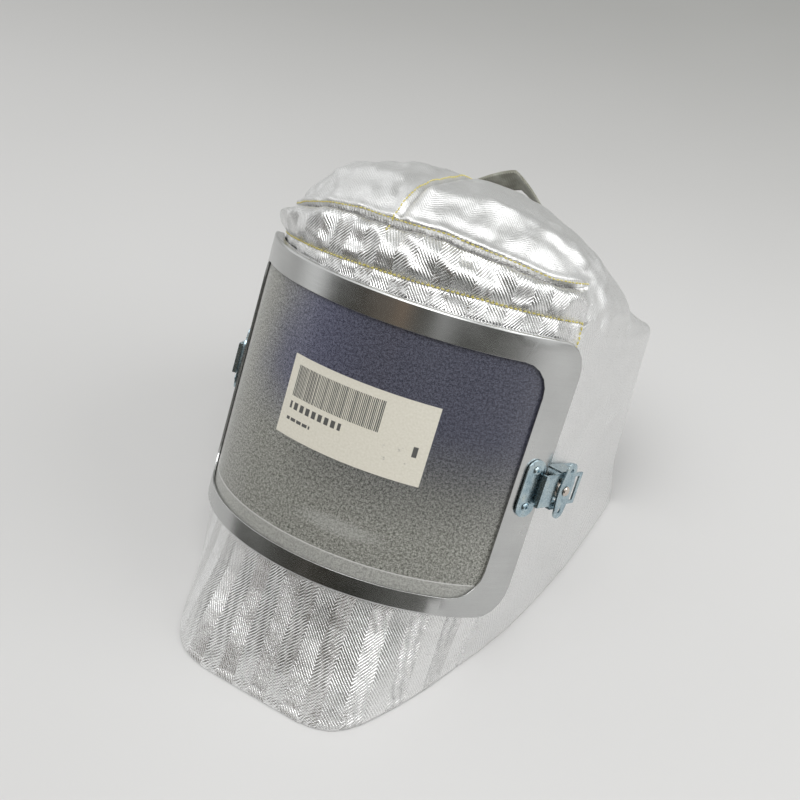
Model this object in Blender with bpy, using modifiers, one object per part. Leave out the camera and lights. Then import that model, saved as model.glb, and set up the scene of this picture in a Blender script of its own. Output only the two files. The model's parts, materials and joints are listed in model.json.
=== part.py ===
"""Aluminised heat hood with a wrap-round window, built as separate sub-parts.

Units are metres and +Z is up. The hood stands on its hem and faces -Y. Its own frame leans
back by TILT: in that frame +Z runs up the window, -Y is forward, and a point is written as
(x, forward, up). The origin of the scene is the middle of the hood's footprint.
"""

from math import atan2, cos, pi, radians, sin, sqrt, tan

import bmesh
import bpy
import numpy as np
from mathutils import Matrix, Vector

COLLECTION = "face_shield"
GAP = 0.0003

# Stance of the hood frame on the ground.
TILT = radians(31.0)
SHIFT_Y = -0.1209

# Cloth hood.
CLOTH = 0.0022
WALL_RADIUS = 0.1168
AXIS_FORWARD = -0.078
CROWN_BASE = 0.250
CROWN_START = 0.245
CROWN_TOP = 0.3196
CROWN_POWER = 2.9
CROWN_SAG = 0.385
CROWN_SAG_FORWARD = -0.0307
CROWN_SAG_REACH = 0.083
CROWN_SAG_POWER = 2.7
CROWN_LEAST = 0.27
CROWN_SHOULDER = 0.29
FRAME_LEVEL = 0.058
HEM_HEIGHT = 0.0068
BINDING_TOP = 0.0045
BINDING_LAP = 0.0005
REAR_TOP = 0.3062
REAR_FORWARD = -0.1384
REAR_REACH = 0.0619
REAR_DROP = 0.197
REAR_ANGLE_HEM = radians(133.5)
REAR_ANGLE_CROWN = radians(123.4)
LOOP_SIDE = 0.0165
LOOP_FORWARD = -0.093
LOOP_WIDTH = 0.020
FOREHEAD_TOP = 0.2862
FOREHEAD_REAR = -0.038

# The outline of the hood on the ground and at window height, front centre to rear centre.
HEM_OUTLINE = (
    (0.0, 0.0452),
    (0.0300, 0.0450),
    (0.0495, 0.0436),
    (0.0694, 0.0332),
    (0.0886, 0.0011),
    (0.1013, -0.0307),
    (0.1130, -0.0656),
    (0.1196, -0.1030),
    (0.1229, -0.1434),
    (0.1214, -0.2004),
    (0.1120, -0.2250),
    (0.0800, -0.2360),
    (0.0, -0.2380),
)
SIDE_OUTLINE = (
    (0.1180, -0.110),
    (0.1190, -0.150),
    (0.1170, -0.195),
    (0.1060, -0.222),
    (0.0800, -0.234),
    (0.0, -0.238),
)

# Window stack, as radii about the window's axis from the inside out.
SHEET = 0.0015
SHEET_GAP = 0.0005
REAR_FRAME_RADIUS = WALL_RADIUS + SHEET_GAP
GASKET_RADIUS = REAR_FRAME_RADIUS + SHEET + SHEET_GAP
GASKET_THICKNESS = 0.0006
LENS_RADIUS = GASKET_RADIUS + GASKET_THICKNESS + SHEET_GAP
FRONT_FRAME_RADIUS = LENS_RADIUS + SHEET + SHEET_GAP
FRONT_FACE = FRONT_FRAME_RADIUS + SHEET
FLANGE_END = 0.1182

# Window outline: half angle round the axis, and heights up the window.
OPENING_HALF = radians(58.4)
OPENING_LOW = 0.0761
OPENING_HIGH = 0.2326
FRAME_HALF = radians(70.5)
FRAME_LOW = 0.0631
FRAME_HIGH = 0.2494
OPENING_CORNER = 0.020
FRAME_CORNER = 0.022
LOOP_STRAIGHT = 0.102
LEDGE = 0.009
LABEL_SIZE = (0.1016, 0.0508)
LABEL_ANGLE = radians(6.9)
LABEL_UP = 0.1681

# Draw latches, one each side.
KEEPER_ANGLE = radians(64.6)
LATCH_ANGLE = radians(77.2)
LATCH_UP = 0.1543
KEEPER_LENGTH = 0.0386
KEEPER_WIDTH = 0.0150
PLATE = 0.0012
KEEPER_HOLE = 0.0123
RIVET_SHANK = 0.0016
PIVOT_SHANK = 0.0020
HUB_RADIUS = 0.0068
HUB_TOP = 0.0124
HOOK_LOW = 0.0104
WING_LOW = 0.0127
WING_LENGTH = 0.0380
WING_WIDTH = 0.0150
BASE_HALF = 0.0130

# Head suspension inside the hood.
BAND_FORWARD = -0.098
BAND_HALF_WIDTH = 0.074
BAND_HALF_DEPTH = 0.092
BAND_LOW = 0.200
BAND_HIGH = 0.228
BAND_THICKNESS = 0.0018
BAND_END_ANGLE = radians(160)
TILT_UP = 0.214
KNOB_RADIUS = 0.017
RACK_PITCH_RADIUS = 0.004
PINION_TEETH = 8

MATERIALS = {
    "aluminised_cloth": ((0.78, 0.79, 0.80), 0.9, 0.28),
    "satin_aluminium": ((0.80, 0.80, 0.81), 1.0, 0.30),
    "zinc_plate": ((0.62, 0.70, 0.74), 1.0, 0.28),
    "nickel": ((0.72, 0.66, 0.60), 1.0, 0.22),
    "lens": ((0.33, 0.35, 0.40), 0.0, 0.20),
    "black_rubber": ((0.03, 0.03, 0.03), 0.0, 0.60),
    "label_paper": ((0.88, 0.86, 0.78), 0.0, 0.55),
    "webbing": ((0.42, 0.41, 0.34), 0.0, 0.90),
    "black_plastic": ((0.05, 0.05, 0.055), 0.0, 0.45),
    "sweat_foam": ((0.30, 0.31, 0.33), 0.0, 0.95),
    "knob_plastic": ((0.45, 0.46, 0.48), 0.0, 0.50),
}


def clear_scene():
    for obj in list(bpy.data.objects):
        bpy.data.objects.remove(obj, do_unlink=True)


def new_collection(name, shown=True):
    made = bpy.data.collections.new(name)
    bpy.context.scene.collection.children.link(made)
    made.hide_render = not shown
    return made


clear_scene()
PARTS = new_collection(COLLECTION)
CUTTERS = new_collection("cutters", shown=False)


def material(name):
    found = bpy.data.materials.get(name)
    if found:
        return found
    colour, metallic, roughness = MATERIALS[name]
    made = bpy.data.materials.new(name)
    made.use_nodes = True
    shader = made.node_tree.nodes["Principled BSDF"]
    shader.inputs["Base Color"].default_value = (*colour, 1.0)
    shader.inputs["Metallic"].default_value = metallic
    shader.inputs["Roughness"].default_value = roughness
    return made


def empty(name, parent=None, matrix=None):
    made = bpy.data.objects.new(name, None)
    PARTS.objects.link(made)
    made.parent = parent
    if matrix is not None:
        made.matrix_local = matrix
    return made


HOOD = empty(
    "hood_frame", matrix=Matrix.Translation((0, SHIFT_Y, 0)) @ Matrix.Rotation(-TILT, 4, "X")
)


def local(x, forward, up):
    """A point of the hood frame."""
    return Vector((x, -forward, up))


def add(name, data, slot, parent=HOOD, matrix=None):
    """Puts mesh or curve data into the scene as one named sub-part."""
    made = bpy.data.objects.new(name, data)
    PARTS.objects.link(made)
    made.parent = parent
    if matrix is not None:
        made.matrix_local = matrix
    data.materials.append(material(slot))
    return made


def cutter(name, mesh, parent=HOOD, matrix=None):
    made = bpy.data.objects.new(name, mesh)
    CUTTERS.objects.link(made)
    made.parent = parent
    if matrix is not None:
        made.matrix_local = matrix
    made.hide_render = True
    made.display_type = "WIRE"
    return made


def boolean(obj, other, operation="DIFFERENCE"):
    modifier = obj.modifiers.new(other.name, "BOOLEAN")
    modifier.object = other
    modifier.operation = operation
    modifier.solver = "EXACT"


def solidify(obj, thickness, offset=-1.0):
    modifier = obj.modifiers.new("thickness", "SOLIDIFY")
    modifier.thickness = thickness
    modifier.offset = offset


def bevel(obj, width, segments=2):
    modifier = obj.modifiers.new("edges", "BEVEL")
    modifier.width = width
    modifier.segments = segments
    modifier.limit_method = "ANGLE"
    modifier.angle_limit = radians(35)


def to_mesh(bm, name, outward=True):
    if outward:
        bmesh.ops.recalc_face_normals(bm, faces=bm.faces)
    mesh = bpy.data.meshes.new(name)
    bm.to_mesh(mesh)
    bm.free()
    return mesh


def loft_mesh(name, loops, ring=False):
    """Skins loops of equal length. A ring joins the last loop to the first, else both are capped."""
    bm = bmesh.new()
    rows = [[bm.verts.new(point) for point in loop] for loop in loops]
    count = len(rows[0])
    pairs = list(zip(rows, rows[1:]))
    if ring:
        pairs.append((rows[-1], rows[0]))
    for low, high in pairs:
        for i in range(count):
            j = (i + 1) % count
            bm.faces.new((low[i], low[j], high[j], high[i]))
    if not ring:
        bm.faces.new(rows[0])
        bm.faces.new(rows[-1])
    return to_mesh(bm, name)


def sheet_mesh(name, rows, apex=None, closed=False):
    """An open surface through rows of points, facing away from its inner side."""
    bm = bmesh.new()
    grid = [[bm.verts.new(point) for point in row] for row in rows]
    count = len(grid[0])
    spans = count if closed else count - 1
    for low, high in zip(grid, grid[1:]):
        for i in range(spans):
            j = (i + 1) % count
            bm.faces.new((low[i], low[j], high[j], high[i]))
    if apex is not None:
        top = bm.verts.new(apex)
        for i in range(spans):
            bm.faces.new((grid[-1][i], grid[-1][(i + 1) % count], top))
    return to_mesh(bm, name, outward=False)


def box_mesh(name, low, high):
    bm = bmesh.new()
    bmesh.ops.create_cube(bm, size=1.0)
    size = Vector(high) - Vector(low)
    bmesh.ops.scale(bm, vec=size, verts=bm.verts)
    bmesh.ops.translate(bm, vec=(Vector(low) + Vector(high)) / 2, verts=bm.verts)
    return to_mesh(bm, name)


def rod_mesh(name, radius, low, high, sides=20):
    bm = bmesh.new()
    bmesh.ops.create_cone(
        bm, cap_ends=True, segments=sides, radius1=radius, radius2=radius, depth=high - low
    )
    bmesh.ops.translate(bm, vec=(0, 0, (low + high) / 2), verts=bm.verts)
    return to_mesh(bm, name)


def turned(name, profile, slot, parent, matrix=None, steps=20, bored=False):
    """Turns a (radius, height) profile about Z. A bored profile is a closed loop off the axis."""
    bm = bmesh.new()
    verts = [bm.verts.new((radius, 0, height)) for radius, height in profile]
    for a, b in zip(verts, verts[1:]):
        bm.edges.new((a, b))
    if bored:
        bm.edges.new((verts[-1], verts[0]))
    made = add(name, to_mesh(bm, name, outward=False), slot, parent, matrix)
    screw = made.modifiers.new("turn", "SCREW")
    screw.steps = steps
    screw.render_steps = steps
    screw.use_merge_vertices = True
    screw.merge_threshold = 0.00001
    return made


def outline_curve(name, outlines, low, high):
    """A flat outline with holes, filled and extruded from low to high along its Z."""
    curve = bpy.data.curves.new(name, "CURVE")
    curve.dimensions = "2D"
    curve.fill_mode = "BOTH"
    curve.extrude = (high - low) / 2
    for points in outlines:
        spline = curve.splines.new("POLY")
        spline.points.add(len(points) - 1)
        spline.use_cyclic_u = True
        for slot, (x, y) in zip(spline.points, points):
            slot.co = (x, y, 0, 1)
    return curve


def curve_as_mesh(name, curve, low, high):
    """The curve's solid as a welded mesh, lifted so that it runs from low to high."""
    made = bpy.data.objects.new(name + "_outline", curve)
    bpy.context.scene.collection.objects.link(made)
    graph = bpy.context.evaluated_depsgraph_get()
    mesh = bpy.data.meshes.new_from_object(made.evaluated_get(graph))
    bpy.data.objects.remove(made, do_unlink=True)
    bm = bmesh.new()
    bm.from_mesh(mesh)
    bmesh.ops.remove_doubles(bm, verts=bm.verts, dist=0.000001)
    bmesh.ops.translate(bm, vec=(0, 0, (low + high) / 2), verts=bm.verts)
    bpy.data.meshes.remove(mesh)
    return to_mesh(bm, name)


def plate_mesh(name, outlines, low, high):
    return curve_as_mesh(name, outline_curve(name, outlines, low, high), low, high)


def circle(radius, x=0.0, y=0.0, count=16):
    angles = [2 * pi * i / count for i in range(count)]
    return [(x + radius * cos(a), y + radius * sin(a)) for a in angles]


def stadium(length, width, count=8):
    """An outline with round ends, long in Y."""
    radius = width / 2
    reach = length / 2 - radius
    top = [(radius * cos(pi * i / count), reach + radius * sin(pi * i / count))
           for i in range(count + 1)]
    return top + [(-x, -y) for x, y in top]


# Hood form


def smooth_outline(points, steps=24):
    """Catmull-Rom curve through half an outline, as polar angle and radius about the axis."""
    first, last = points[1], points[-2]
    knots = np.array([(-first[0], first[1]), *points, (-last[0], last[1])])
    spans = []
    for a, b, c, d in zip(knots, knots[1:], knots[2:], knots[3:]):
        t = np.linspace(0, 1, steps, endpoint=False)[:, None]
        bend = 2 * b + (c - a) * t + (2 * a - 5 * b + 4 * c - d) * t**2
        spans.append(0.5 * (bend + (3 * b - a - 3 * c + d) * t**3))
    line = np.concatenate([*spans, knots[-2:-1]])
    angle = np.arctan2(line[:, 0], line[:, 1] - AXIS_FORWARD)
    radius = np.hypot(line[:, 0], line[:, 1] - AXIS_FORWARD)
    order = np.argsort(angle)
    return angle[order], radius[order]


def level_points():
    """Window-height outline: a quarter circle round the window, then the side."""
    arc = [
        (WALL_RADIUS * sin(radians(a)), AXIS_FORWARD + WALL_RADIUS * cos(radians(a)))
        for a in range(0, 91, 10)
    ]
    return (*arc, *SIDE_OUTLINE)


HEM_ANGLES, HEM_RADII = smooth_outline(HEM_OUTLINE)
LEVEL_ANGLES, LEVEL_RADII = smooth_outline(level_points())


def smooth_step(x):
    x = min(max(x, 0.0), 1.0)
    return x * x * (3 - 2 * x)


def hem_up(angle, height):
    """How far up the hood frame the hem outline is at this height above the ground."""
    radius = float(np.interp(abs(angle), HEM_ANGLES, HEM_RADII))
    forward = AXIS_FORWARD + radius * cos(angle)
    return (height - forward * sin(TILT)) / cos(TILT)


def wall_radius(angle, up):
    """Distance of the cloth's outer face from the window's axis."""
    at_hem = float(np.interp(abs(angle), HEM_ANGLES, HEM_RADII))
    at_level = float(np.interp(abs(angle), LEVEL_ANGLES, LEVEL_RADII))
    if abs(angle) <= pi / 2:
        at_level = WALL_RADIUS
    ground = hem_up(angle, 0.0)
    rise = max(FRAME_LEVEL - ground, 0.045)
    return at_hem + (at_level - at_hem) * smooth_step((up - ground) / rise)


def wall_point(angle, up, inset=0.0):
    radius = wall_radius(angle, up) - inset
    return local(radius * sin(angle), AXIS_FORWARD + radius * cos(angle), up)


def crown_point(angle, rise, inset=0.0):
    """A point of the dome, where rise runs from 0 at its base to 1 at its top."""
    shrink = (1 - rise**CROWN_POWER) ** (1 / CROWN_POWER)
    radius = max(wall_radius(angle, CROWN_START) * shrink - inset, 0.0)
    x, forward = radius * sin(angle), AXIS_FORWARD + radius * cos(angle)
    back = max((CROWN_SAG_FORWARD - forward) / CROWN_SAG_REACH, 0.0)
    sag = max(1 - CROWN_SAG * back**CROWN_SAG_POWER, CROWN_LEAST)
    shoulder = 1 - CROWN_SHOULDER * rise * (x / WALL_RADIUS) ** 2
    height = CROWN_START + (CROWN_TOP - inset - CROWN_START) * rise - CROWN_BASE
    up = CROWN_BASE + max(height, GAP / 2) * sag * shoulder
    return local(x, forward, max(up, CROWN_BASE + GAP / 2))


def rear_edge(up):
    """How far forward the hood's rear edge is at this height."""
    drop = min(max((REAR_TOP - up) / REAR_DROP, 0.0), 2.0)
    return REAR_FORWARD - REAR_REACH * drop**0.9


# Places on the window and the latches


def on_window(angle, up, radius):
    return local(radius * sin(angle), AXIS_FORWARD + radius * cos(angle), up)


def tangent_frame(angle, up, radius, side=1):
    """Local Z points out of the window's cylinder, local X forward along it."""
    angle = side * angle
    out = Vector((sin(angle), -cos(angle), 0))
    forward = -side * Vector((cos(angle), sin(angle), 0))
    across = out.cross(forward)
    turn = Matrix((forward, across, out)).transposed().to_4x4()
    return Matrix.Translation(on_window(angle, up, radius)) @ turn


def corner_arc(cx, cy, radius, start, count=5):
    angles = [radians(start + 90 * i / count) for i in range(count + 1)]
    return [(cx + radius * cos(a), cy + radius * sin(a)) for a in angles]


def window_loop(half, low, high, corner, radius, inset=0.0):
    """A rounded rectangle wrapped on a cylinder. Any two of these have matching points."""
    span = FRONT_FACE * half - inset
    low += inset
    high -= inset
    corner = max(corner - inset, 0.002)
    right, left = span - corner, corner - span
    run = [LOOP_STRAIGHT * (i / 10 - 1) for i in range(21)]
    thirds = [LOOP_STRAIGHT + (right - LOOP_STRAIGHT) * i / 3 for i in (1, 2)]
    run = [-x for x in reversed(thirds)] + run + thirds
    flat = (
        [(x, low) for x in run]
        + corner_arc(right, low + corner, corner, -90)
        + [(span, (low + high) / 2)]
        + corner_arc(right, high - corner, corner, 0)
        + [(x, high) for x in reversed(run)]
        + corner_arc(left, high - corner, corner, 90)
        + [(-span, (low + high) / 2)]
        + corner_arc(left, low + corner, corner, 180)
    )
    return [on_window(x / FRONT_FACE, up, radius) for x, up in flat]


# Cloth sub-parts


def window_cutter():
    """Opens the cloth behind the window, a little wider than the frames show."""
    half = WALL_RADIUS * sin(OPENING_HALF + radians(2))
    low = OPENING_LOW - 0.003
    high = OPENING_HIGH + 0.003
    mesh = box_mesh("window_cutter", local(-half, 0.060, low), local(half, -0.030, high))
    made = cutter("window_cutter", mesh)
    bevel(made, 0.015, 4)
    return made


def rivet_hole(name, frame, radius):
    return cutter(name, rod_mesh(name, radius, -0.006, 0.004, 16), matrix=frame)


def hood_shell():
    columns = 30
    shares = (0, 0.07, 0.14, 0.21, 0.28, 0.36, 0.50, 0.66, 0.83, 1)
    rows = []
    for share in shares:
        rows.append([])
        rear = REAR_ANGLE_HEM + (REAR_ANGLE_CROWN - REAR_ANGLE_HEM) * share
        for column in range(-columns, columns + 1):
            angle = rear * column / columns
            low = hem_up(angle, HEM_HEIGHT)
            rows[-1].append(wall_point(angle, low + (CROWN_BASE - GAP / 2 - low) * share))
    made = add("hood_shell", sheet_mesh("hood_shell", rows), "aluminised_cloth")
    solidify(made, CLOTH)
    return made


def ground_point(angle, height, inset):
    """A point of the hem outline at this height above the ground."""
    radius = float(np.interp(abs(angle), HEM_ANGLES, HEM_RADII)) - inset
    forward = AXIS_FORWARD + radius * cos(angle)
    up = (height - forward * sin(TILT)) / cos(TILT)
    return local(radius * sin(angle), forward, up)


def hem_binding():
    columns = 30
    sections = []
    for column in range(-columns, columns + 1):
        angle = REAR_ANGLE_HEM * column / columns
        outside, inside = -BINDING_LAP, CLOTH + BINDING_LAP
        sections.append([
            ground_point(angle, 0.0, outside),
            ground_point(angle, 0.0, inside),
            ground_point(angle, BINDING_TOP, inside),
            ground_point(angle, BINDING_TOP, outside),
        ])
    return add("hem_binding", loft_mesh("hem_binding", sections), "aluminised_cloth")


def dome_mesh(name):
    columns = 48
    base = (CROWN_BASE + GAP / 2 - CROWN_START) / (CROWN_TOP - CROWN_START)
    rises = (base, 0.20, 0.34, 0.48, 0.61, 0.73, 0.83, 0.91, 0.97, 0.993)
    angles = [2 * pi * i / columns - pi for i in range(columns)]
    rows = [[crown_point(a, rise) for a in angles] for rise in rises]
    return sheet_mesh(name, rows, apex=crown_point(0.0, 1.0), closed=True)


def rear_cutter():
    """Everything behind the hood's rear edge."""
    heights = [0.10 + 0.02 * i for i in range(13)]
    edge = [(rear_edge(up), up) for up in heights] + [(-0.40, heights[-1]), (-0.40, heights[0])]
    loops = [[local(x, forward, up) for forward, up in edge] for x in (-0.15, 0.15)]
    return cutter("rear_cutter", loft_mesh("rear_cutter", loops))


def forehead_cutter(name, grow):
    low = local(-0.15, FOREHEAD_REAR - grow, CROWN_BASE - 0.02)
    high = local(0.15, 0.08, FOREHEAD_TOP + grow)
    return cutter(name, box_mesh(name, low, high))


def half_cutter(name, side):
    near = side * GAP / 2
    low = local(min(near, -side * 0.15), 0.10, 0.20)
    high = local(max(near, -side * 0.15), -0.30, 0.36)
    return cutter(name, box_mesh(name, low, high))


def crown_panels():
    rear = rear_cutter()
    around_forehead = forehead_cutter("around_forehead_cutter", GAP)
    for name, side in (("crown_left", -1), ("crown_right", 1)):
        made = add(name, dome_mesh(name), "aluminised_cloth")
        solidify(made, CLOTH)
        boolean(made, half_cutter(name + "_half_cutter", side))
        boolean(made, rear)
        boolean(made, around_forehead)
    forehead = add("forehead_panel", dome_mesh("forehead_panel"), "aluminised_cloth")
    solidify(forehead, CLOTH)
    boolean(forehead, forehead_cutter("forehead_cutter", 0.0), "INTERSECT")


def crown_up(x, forward):
    """Height of the crown's outer face above this place."""
    angle = atan2(x, forward - AXIS_FORWARD)
    share = sqrt(x * x + (forward - AXIS_FORWARD) ** 2) / wall_radius(angle, CROWN_START)
    rise = (1 - share**CROWN_POWER) ** (1 / CROWN_POWER)
    return crown_point(angle, rise).z


def back_loop():
    """Webbing loop over the crown's rear slope: two feet on the cloth and an arch between them."""
    foot, reach, height, thickness = 0.034, 0.029, 0.0165, 0.0022
    front, rear = LOOP_FORWARD + LOOP_WIDTH / 2, LOOP_FORWARD - LOOP_WIDTH / 2
    stations = (0.0, 0.004, 0.009, 0.014, 0.019, 0.024, 0.028, 0.032, foot)
    sections = []
    for station in [-s for s in reversed(stations[1:])] + list(stations):
        x = LOOP_SIDE + station
        heights = [crown_up(x, forward) for forward in (front, LOOP_FORWARD, rear)]
        crowned = max(heights[1] - (heights[0] + heights[2]) / 2, 0.0)
        lift = 0.0008 + crowned + height * (1 - min(abs(station) / reach, 1.0) ** 1.25)
        ends = [(front, heights[0] + lift), (rear, heights[2] + lift)]
        lower = [local(x, forward, up) for forward, up in ends]
        upper = [local(x, forward, up + thickness) for forward, up in reversed(ends)]
        sections.append(lower + upper)
    return add("back_loop", loft_mesh("back_loop", sections), "webbing")


# Window sub-parts


def opening_loop(radius, inset=0.0, raise_low=0.0):
    low = OPENING_LOW + raise_low
    return window_loop(OPENING_HALF, low, OPENING_HIGH, OPENING_CORNER, radius, inset)


def frame_loop(radius, inset=0.0):
    return window_loop(FRAME_HALF, FRAME_LOW, FRAME_HIGH, FRAME_CORNER, radius, inset)


def middle_loop(radius):
    """Halfway across the border, so that a frame's face follows the cylinder."""
    half = (OPENING_HALF + FRAME_HALF) / 2
    low, high = (OPENING_LOW + FRAME_LOW) / 2, (OPENING_HIGH + FRAME_HIGH) / 2
    return window_loop(half, low, high, (OPENING_CORNER + FRAME_CORNER) / 2, radius)


def rear_frame():
    outer = REAR_FRAME_RADIUS + SHEET
    edge = SHEET + 0.0008
    loops = [
        opening_loop(outer, 0.0008, LEDGE),
        middle_loop(outer),
        frame_loop(outer, edge),
        frame_loop(REAR_FRAME_RADIUS, edge),
        middle_loop(REAR_FRAME_RADIUS),
        opening_loop(REAR_FRAME_RADIUS, 0.0008, LEDGE),
    ]
    return add("rear_frame", loft_mesh("rear_frame", loops, ring=True), "satin_aluminium")


def lens_gasket():
    outer = GASKET_RADIUS + GASKET_THICKNESS
    border = (radians(62.5), OPENING_LOW - 0.010, OPENING_HIGH + 0.010, 0.012)
    loops = [
        opening_loop(outer, 0.0008),
        window_loop(*border, outer),
        window_loop(*border, GASKET_RADIUS),
        opening_loop(GASKET_RADIUS, 0.0008),
    ]
    return add("lens_gasket", loft_mesh("lens_gasket", loops, ring=True), "black_rubber")


def curved_sheet(name, centre, half, low, high, radius, thickness, columns, slot):
    """A rectangle of sheet bent round the window's axis, its outer face at this radius."""
    rows = []
    for up in (low, (low + high) / 2, high):
        angles = [centre + half * (2 * i / columns - 1) for i in range(columns + 1)]
        rows.append([on_window(a, up, radius) for a in angles])
    made = add(name, sheet_mesh(name, rows), slot)
    solidify(made, thickness)
    return made


def lens():
    low, high = OPENING_LOW - 0.007, OPENING_HIGH + 0.007
    outer = LENS_RADIUS + SHEET
    return curved_sheet("lens", 0, radians(61.6), low, high, outer, SHEET, 26, "lens")


def label():
    width, height = LABEL_SIZE
    thickness = 0.00025
    outer = LENS_RADIUS + SHEET + 0.00015 + thickness
    low, high = LABEL_UP - height / 2, LABEL_UP + height / 2
    half = width / 2 / outer
    return curved_sheet("label", LABEL_ANGLE, half, low, high, outer, thickness, 10, "label_paper")


def front_frame():
    """Outer frame with a flange that wraps the edges of the frame behind it."""
    loops = [
        opening_loop(FRONT_FACE),
        middle_loop(FRONT_FACE),
        frame_loop(FRONT_FACE, 0.0014),
        frame_loop(FRONT_FACE - 0.0004, 0.0004),
        frame_loop(FRONT_FACE - 0.0014),
        frame_loop(FLANGE_END),
        frame_loop(FLANGE_END, SHEET),
        frame_loop(FRONT_FRAME_RADIUS, SHEET),
        middle_loop(FRONT_FRAME_RADIUS),
        opening_loop(FRONT_FRAME_RADIUS),
    ]
    return add("front_frame", loft_mesh("front_frame", loops, ring=True), "satin_aluminium")


# Draw latches


def rivet(name, frame, profile, slot="zinc_plate"):
    return turned(name, profile, slot, HOOD, frame, steps=12)


def keeper(name, frame):
    """Strike plate with round ends, a hole at each end and a raised lip along its rear edge."""
    outlines = [
        stadium(KEEPER_LENGTH, KEEPER_WIDTH),
        circle(0.0019, 0, KEEPER_HOLE, 12),
        circle(0.0019, 0, -KEEPER_HOLE, 12),
    ]
    made = add(name, plate_mesh(name, outlines, GAP, GAP + PLATE), "zinc_plate", matrix=frame)
    rear = -KEEPER_WIDTH / 2
    lip_low, lip_high = GAP + 0.0005, GAP + PLATE + 0.0028
    low, high = (rear + 0.0001, -0.0095, lip_low), (rear + PLATE, 0.0095, lip_high)
    boolean(made, cutter(name + "_lip", box_mesh(name + "_lip", low, high), matrix=frame), "UNION")
    return made


def keeper_rivet_profile():
    top = GAP + PLATE + GAP
    under = -SHEET - GAP
    return (
        (0, top - 0.0006),
        (0.0010, top - 0.0006),
        (0.0010, top + 0.0009),
        (0.0021, top + 0.0009),
        (0.0029, top),
        (RIVET_SHANK, top),
        (RIVET_SHANK, under),
        (0.0023, under),
        (0.0021, under - 0.0009),
        (0, under - 0.0009),
    )


def base_rivet_profile():
    top = GAP + PLATE + GAP
    under = -CLOTH - 0.0016
    return (
        (0, top + 0.0012),
        (0.0020, top + 0.0008),
        (0.0028, top),
        (RIVET_SHANK, top),
        (RIVET_SHANK, under),
        (0.0026, under),
        (0.0022, under - 0.0009),
        (0, under - 0.0009),
    )


def pivot_rivet_profile():
    top = WING_LOW + PLATE + GAP
    under = -CLOTH - 0.0006
    return (
        (0, top + 0.0010),
        (0.0026, top + 0.0010),
        (0.0034, top + 0.0003),
        (0.0034, top),
        (PIVOT_SHANK, top),
        (PIVOT_SHANK, under),
        (0.0034, under),
        (0.0030, under - 0.0010),
        (0, under - 0.0010),
    )


def latch_base(name, frame, rivet_x, rivet_y):
    """Bottom plate with two upright cheeks that guide the hook."""
    half = BASE_HALF - 0.0004
    corners = [(-0.0200, -half), (0.0090, -half), (0.0090, half), (-0.0200, half)]
    holes = [circle(0.0019, rivet_x, y, 12) for y in (-rivet_y, rivet_y)]
    holes.append(circle(PIVOT_SHANK + 0.00015, 0, 0, 16))
    made = add(name, plate_mesh(name, [corners, *holes], GAP, GAP + PLATE), "zinc_plate",
               matrix=frame)
    for side in (-1, 1):
        near, far = side * (BASE_HALF - PLATE), side * BASE_HALF
        low = (-0.0088, min(near, far), GAP + 0.0002)
        high = (0.0088, max(near, far), 0.0120)
        cheek = f"{name}_cheek_{'low' if side < 0 else 'high'}"
        boolean(made, cutter(cheek, box_mesh(cheek, low, high), matrix=frame), "UNION")
    return made


def latch_hook(name, frame):
    """Link round the hub whose turned-in end catches the keeper's lip."""
    rear, front, lip = -0.0185, 0.0234, 0.0222
    top, under, tip = HOOK_LOW + PLATE, HOOK_LOW, HOOK_LOW - 0.0020
    side = [(rear, top), (rear, under), (lip, under), (lip, tip), (front, tip), (front, top)]
    loops = [[(x, y, z) for x, z in side] for y in (-0.0109, 0.0109)]
    made = add(name, loft_mesh(name, loops), "zinc_plate", matrix=frame)
    slot = box_mesh(name + "_slot", (-0.0155, -0.0084, 0.005), (0.0085, 0.0084, 0.015))
    boolean(made, cutter(name + "_slot", slot, matrix=frame))
    return made


def latch_hub(name, frame):
    bore = PIVOT_SHANK + 0.00015
    profile = (
        (bore, HUB_TOP),
        (HUB_RADIUS - 0.0008, HUB_TOP),
        (HUB_RADIUS, HUB_TOP - 0.0008),
        (HUB_RADIUS, 0.0074),
        (HUB_RADIUS - 0.0008, 0.0070),
        (HUB_RADIUS - 0.0008, 0.0050),
        (HUB_RADIUS, 0.0046),
        (HUB_RADIUS, 0.0018),
        (bore, 0.0018),
    )
    return turned(name, profile, "nickel", HOOD, frame, steps=20, bored=True)


def latch_wing(name, frame):
    """Butterfly plate, wide at its middle, with a finger hole near each round end."""
    end_radius = 0.0055
    reach = WING_LENGTH / 2 - end_radius
    middle, shoulder = WING_WIDTH / 2, 0.004
    arc = [(end_radius * cos(pi * i / 8), reach + end_radius * sin(pi * i / 8)) for i in range(9)]
    half = [(middle, -shoulder), (middle, shoulder), *arc]
    outline = half + [(-x, -y) for x, y in half]
    holes = [circle(0.0017, 0, y, 12) for y in (-reach, reach)]
    holes.append(circle(PIVOT_SHANK + 0.00015, 0, 0, 16))
    mesh = plate_mesh(name, [outline, *holes], WING_LOW, WING_LOW + PLATE)
    return add(name, mesh, "zinc_plate", matrix=frame)


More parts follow.
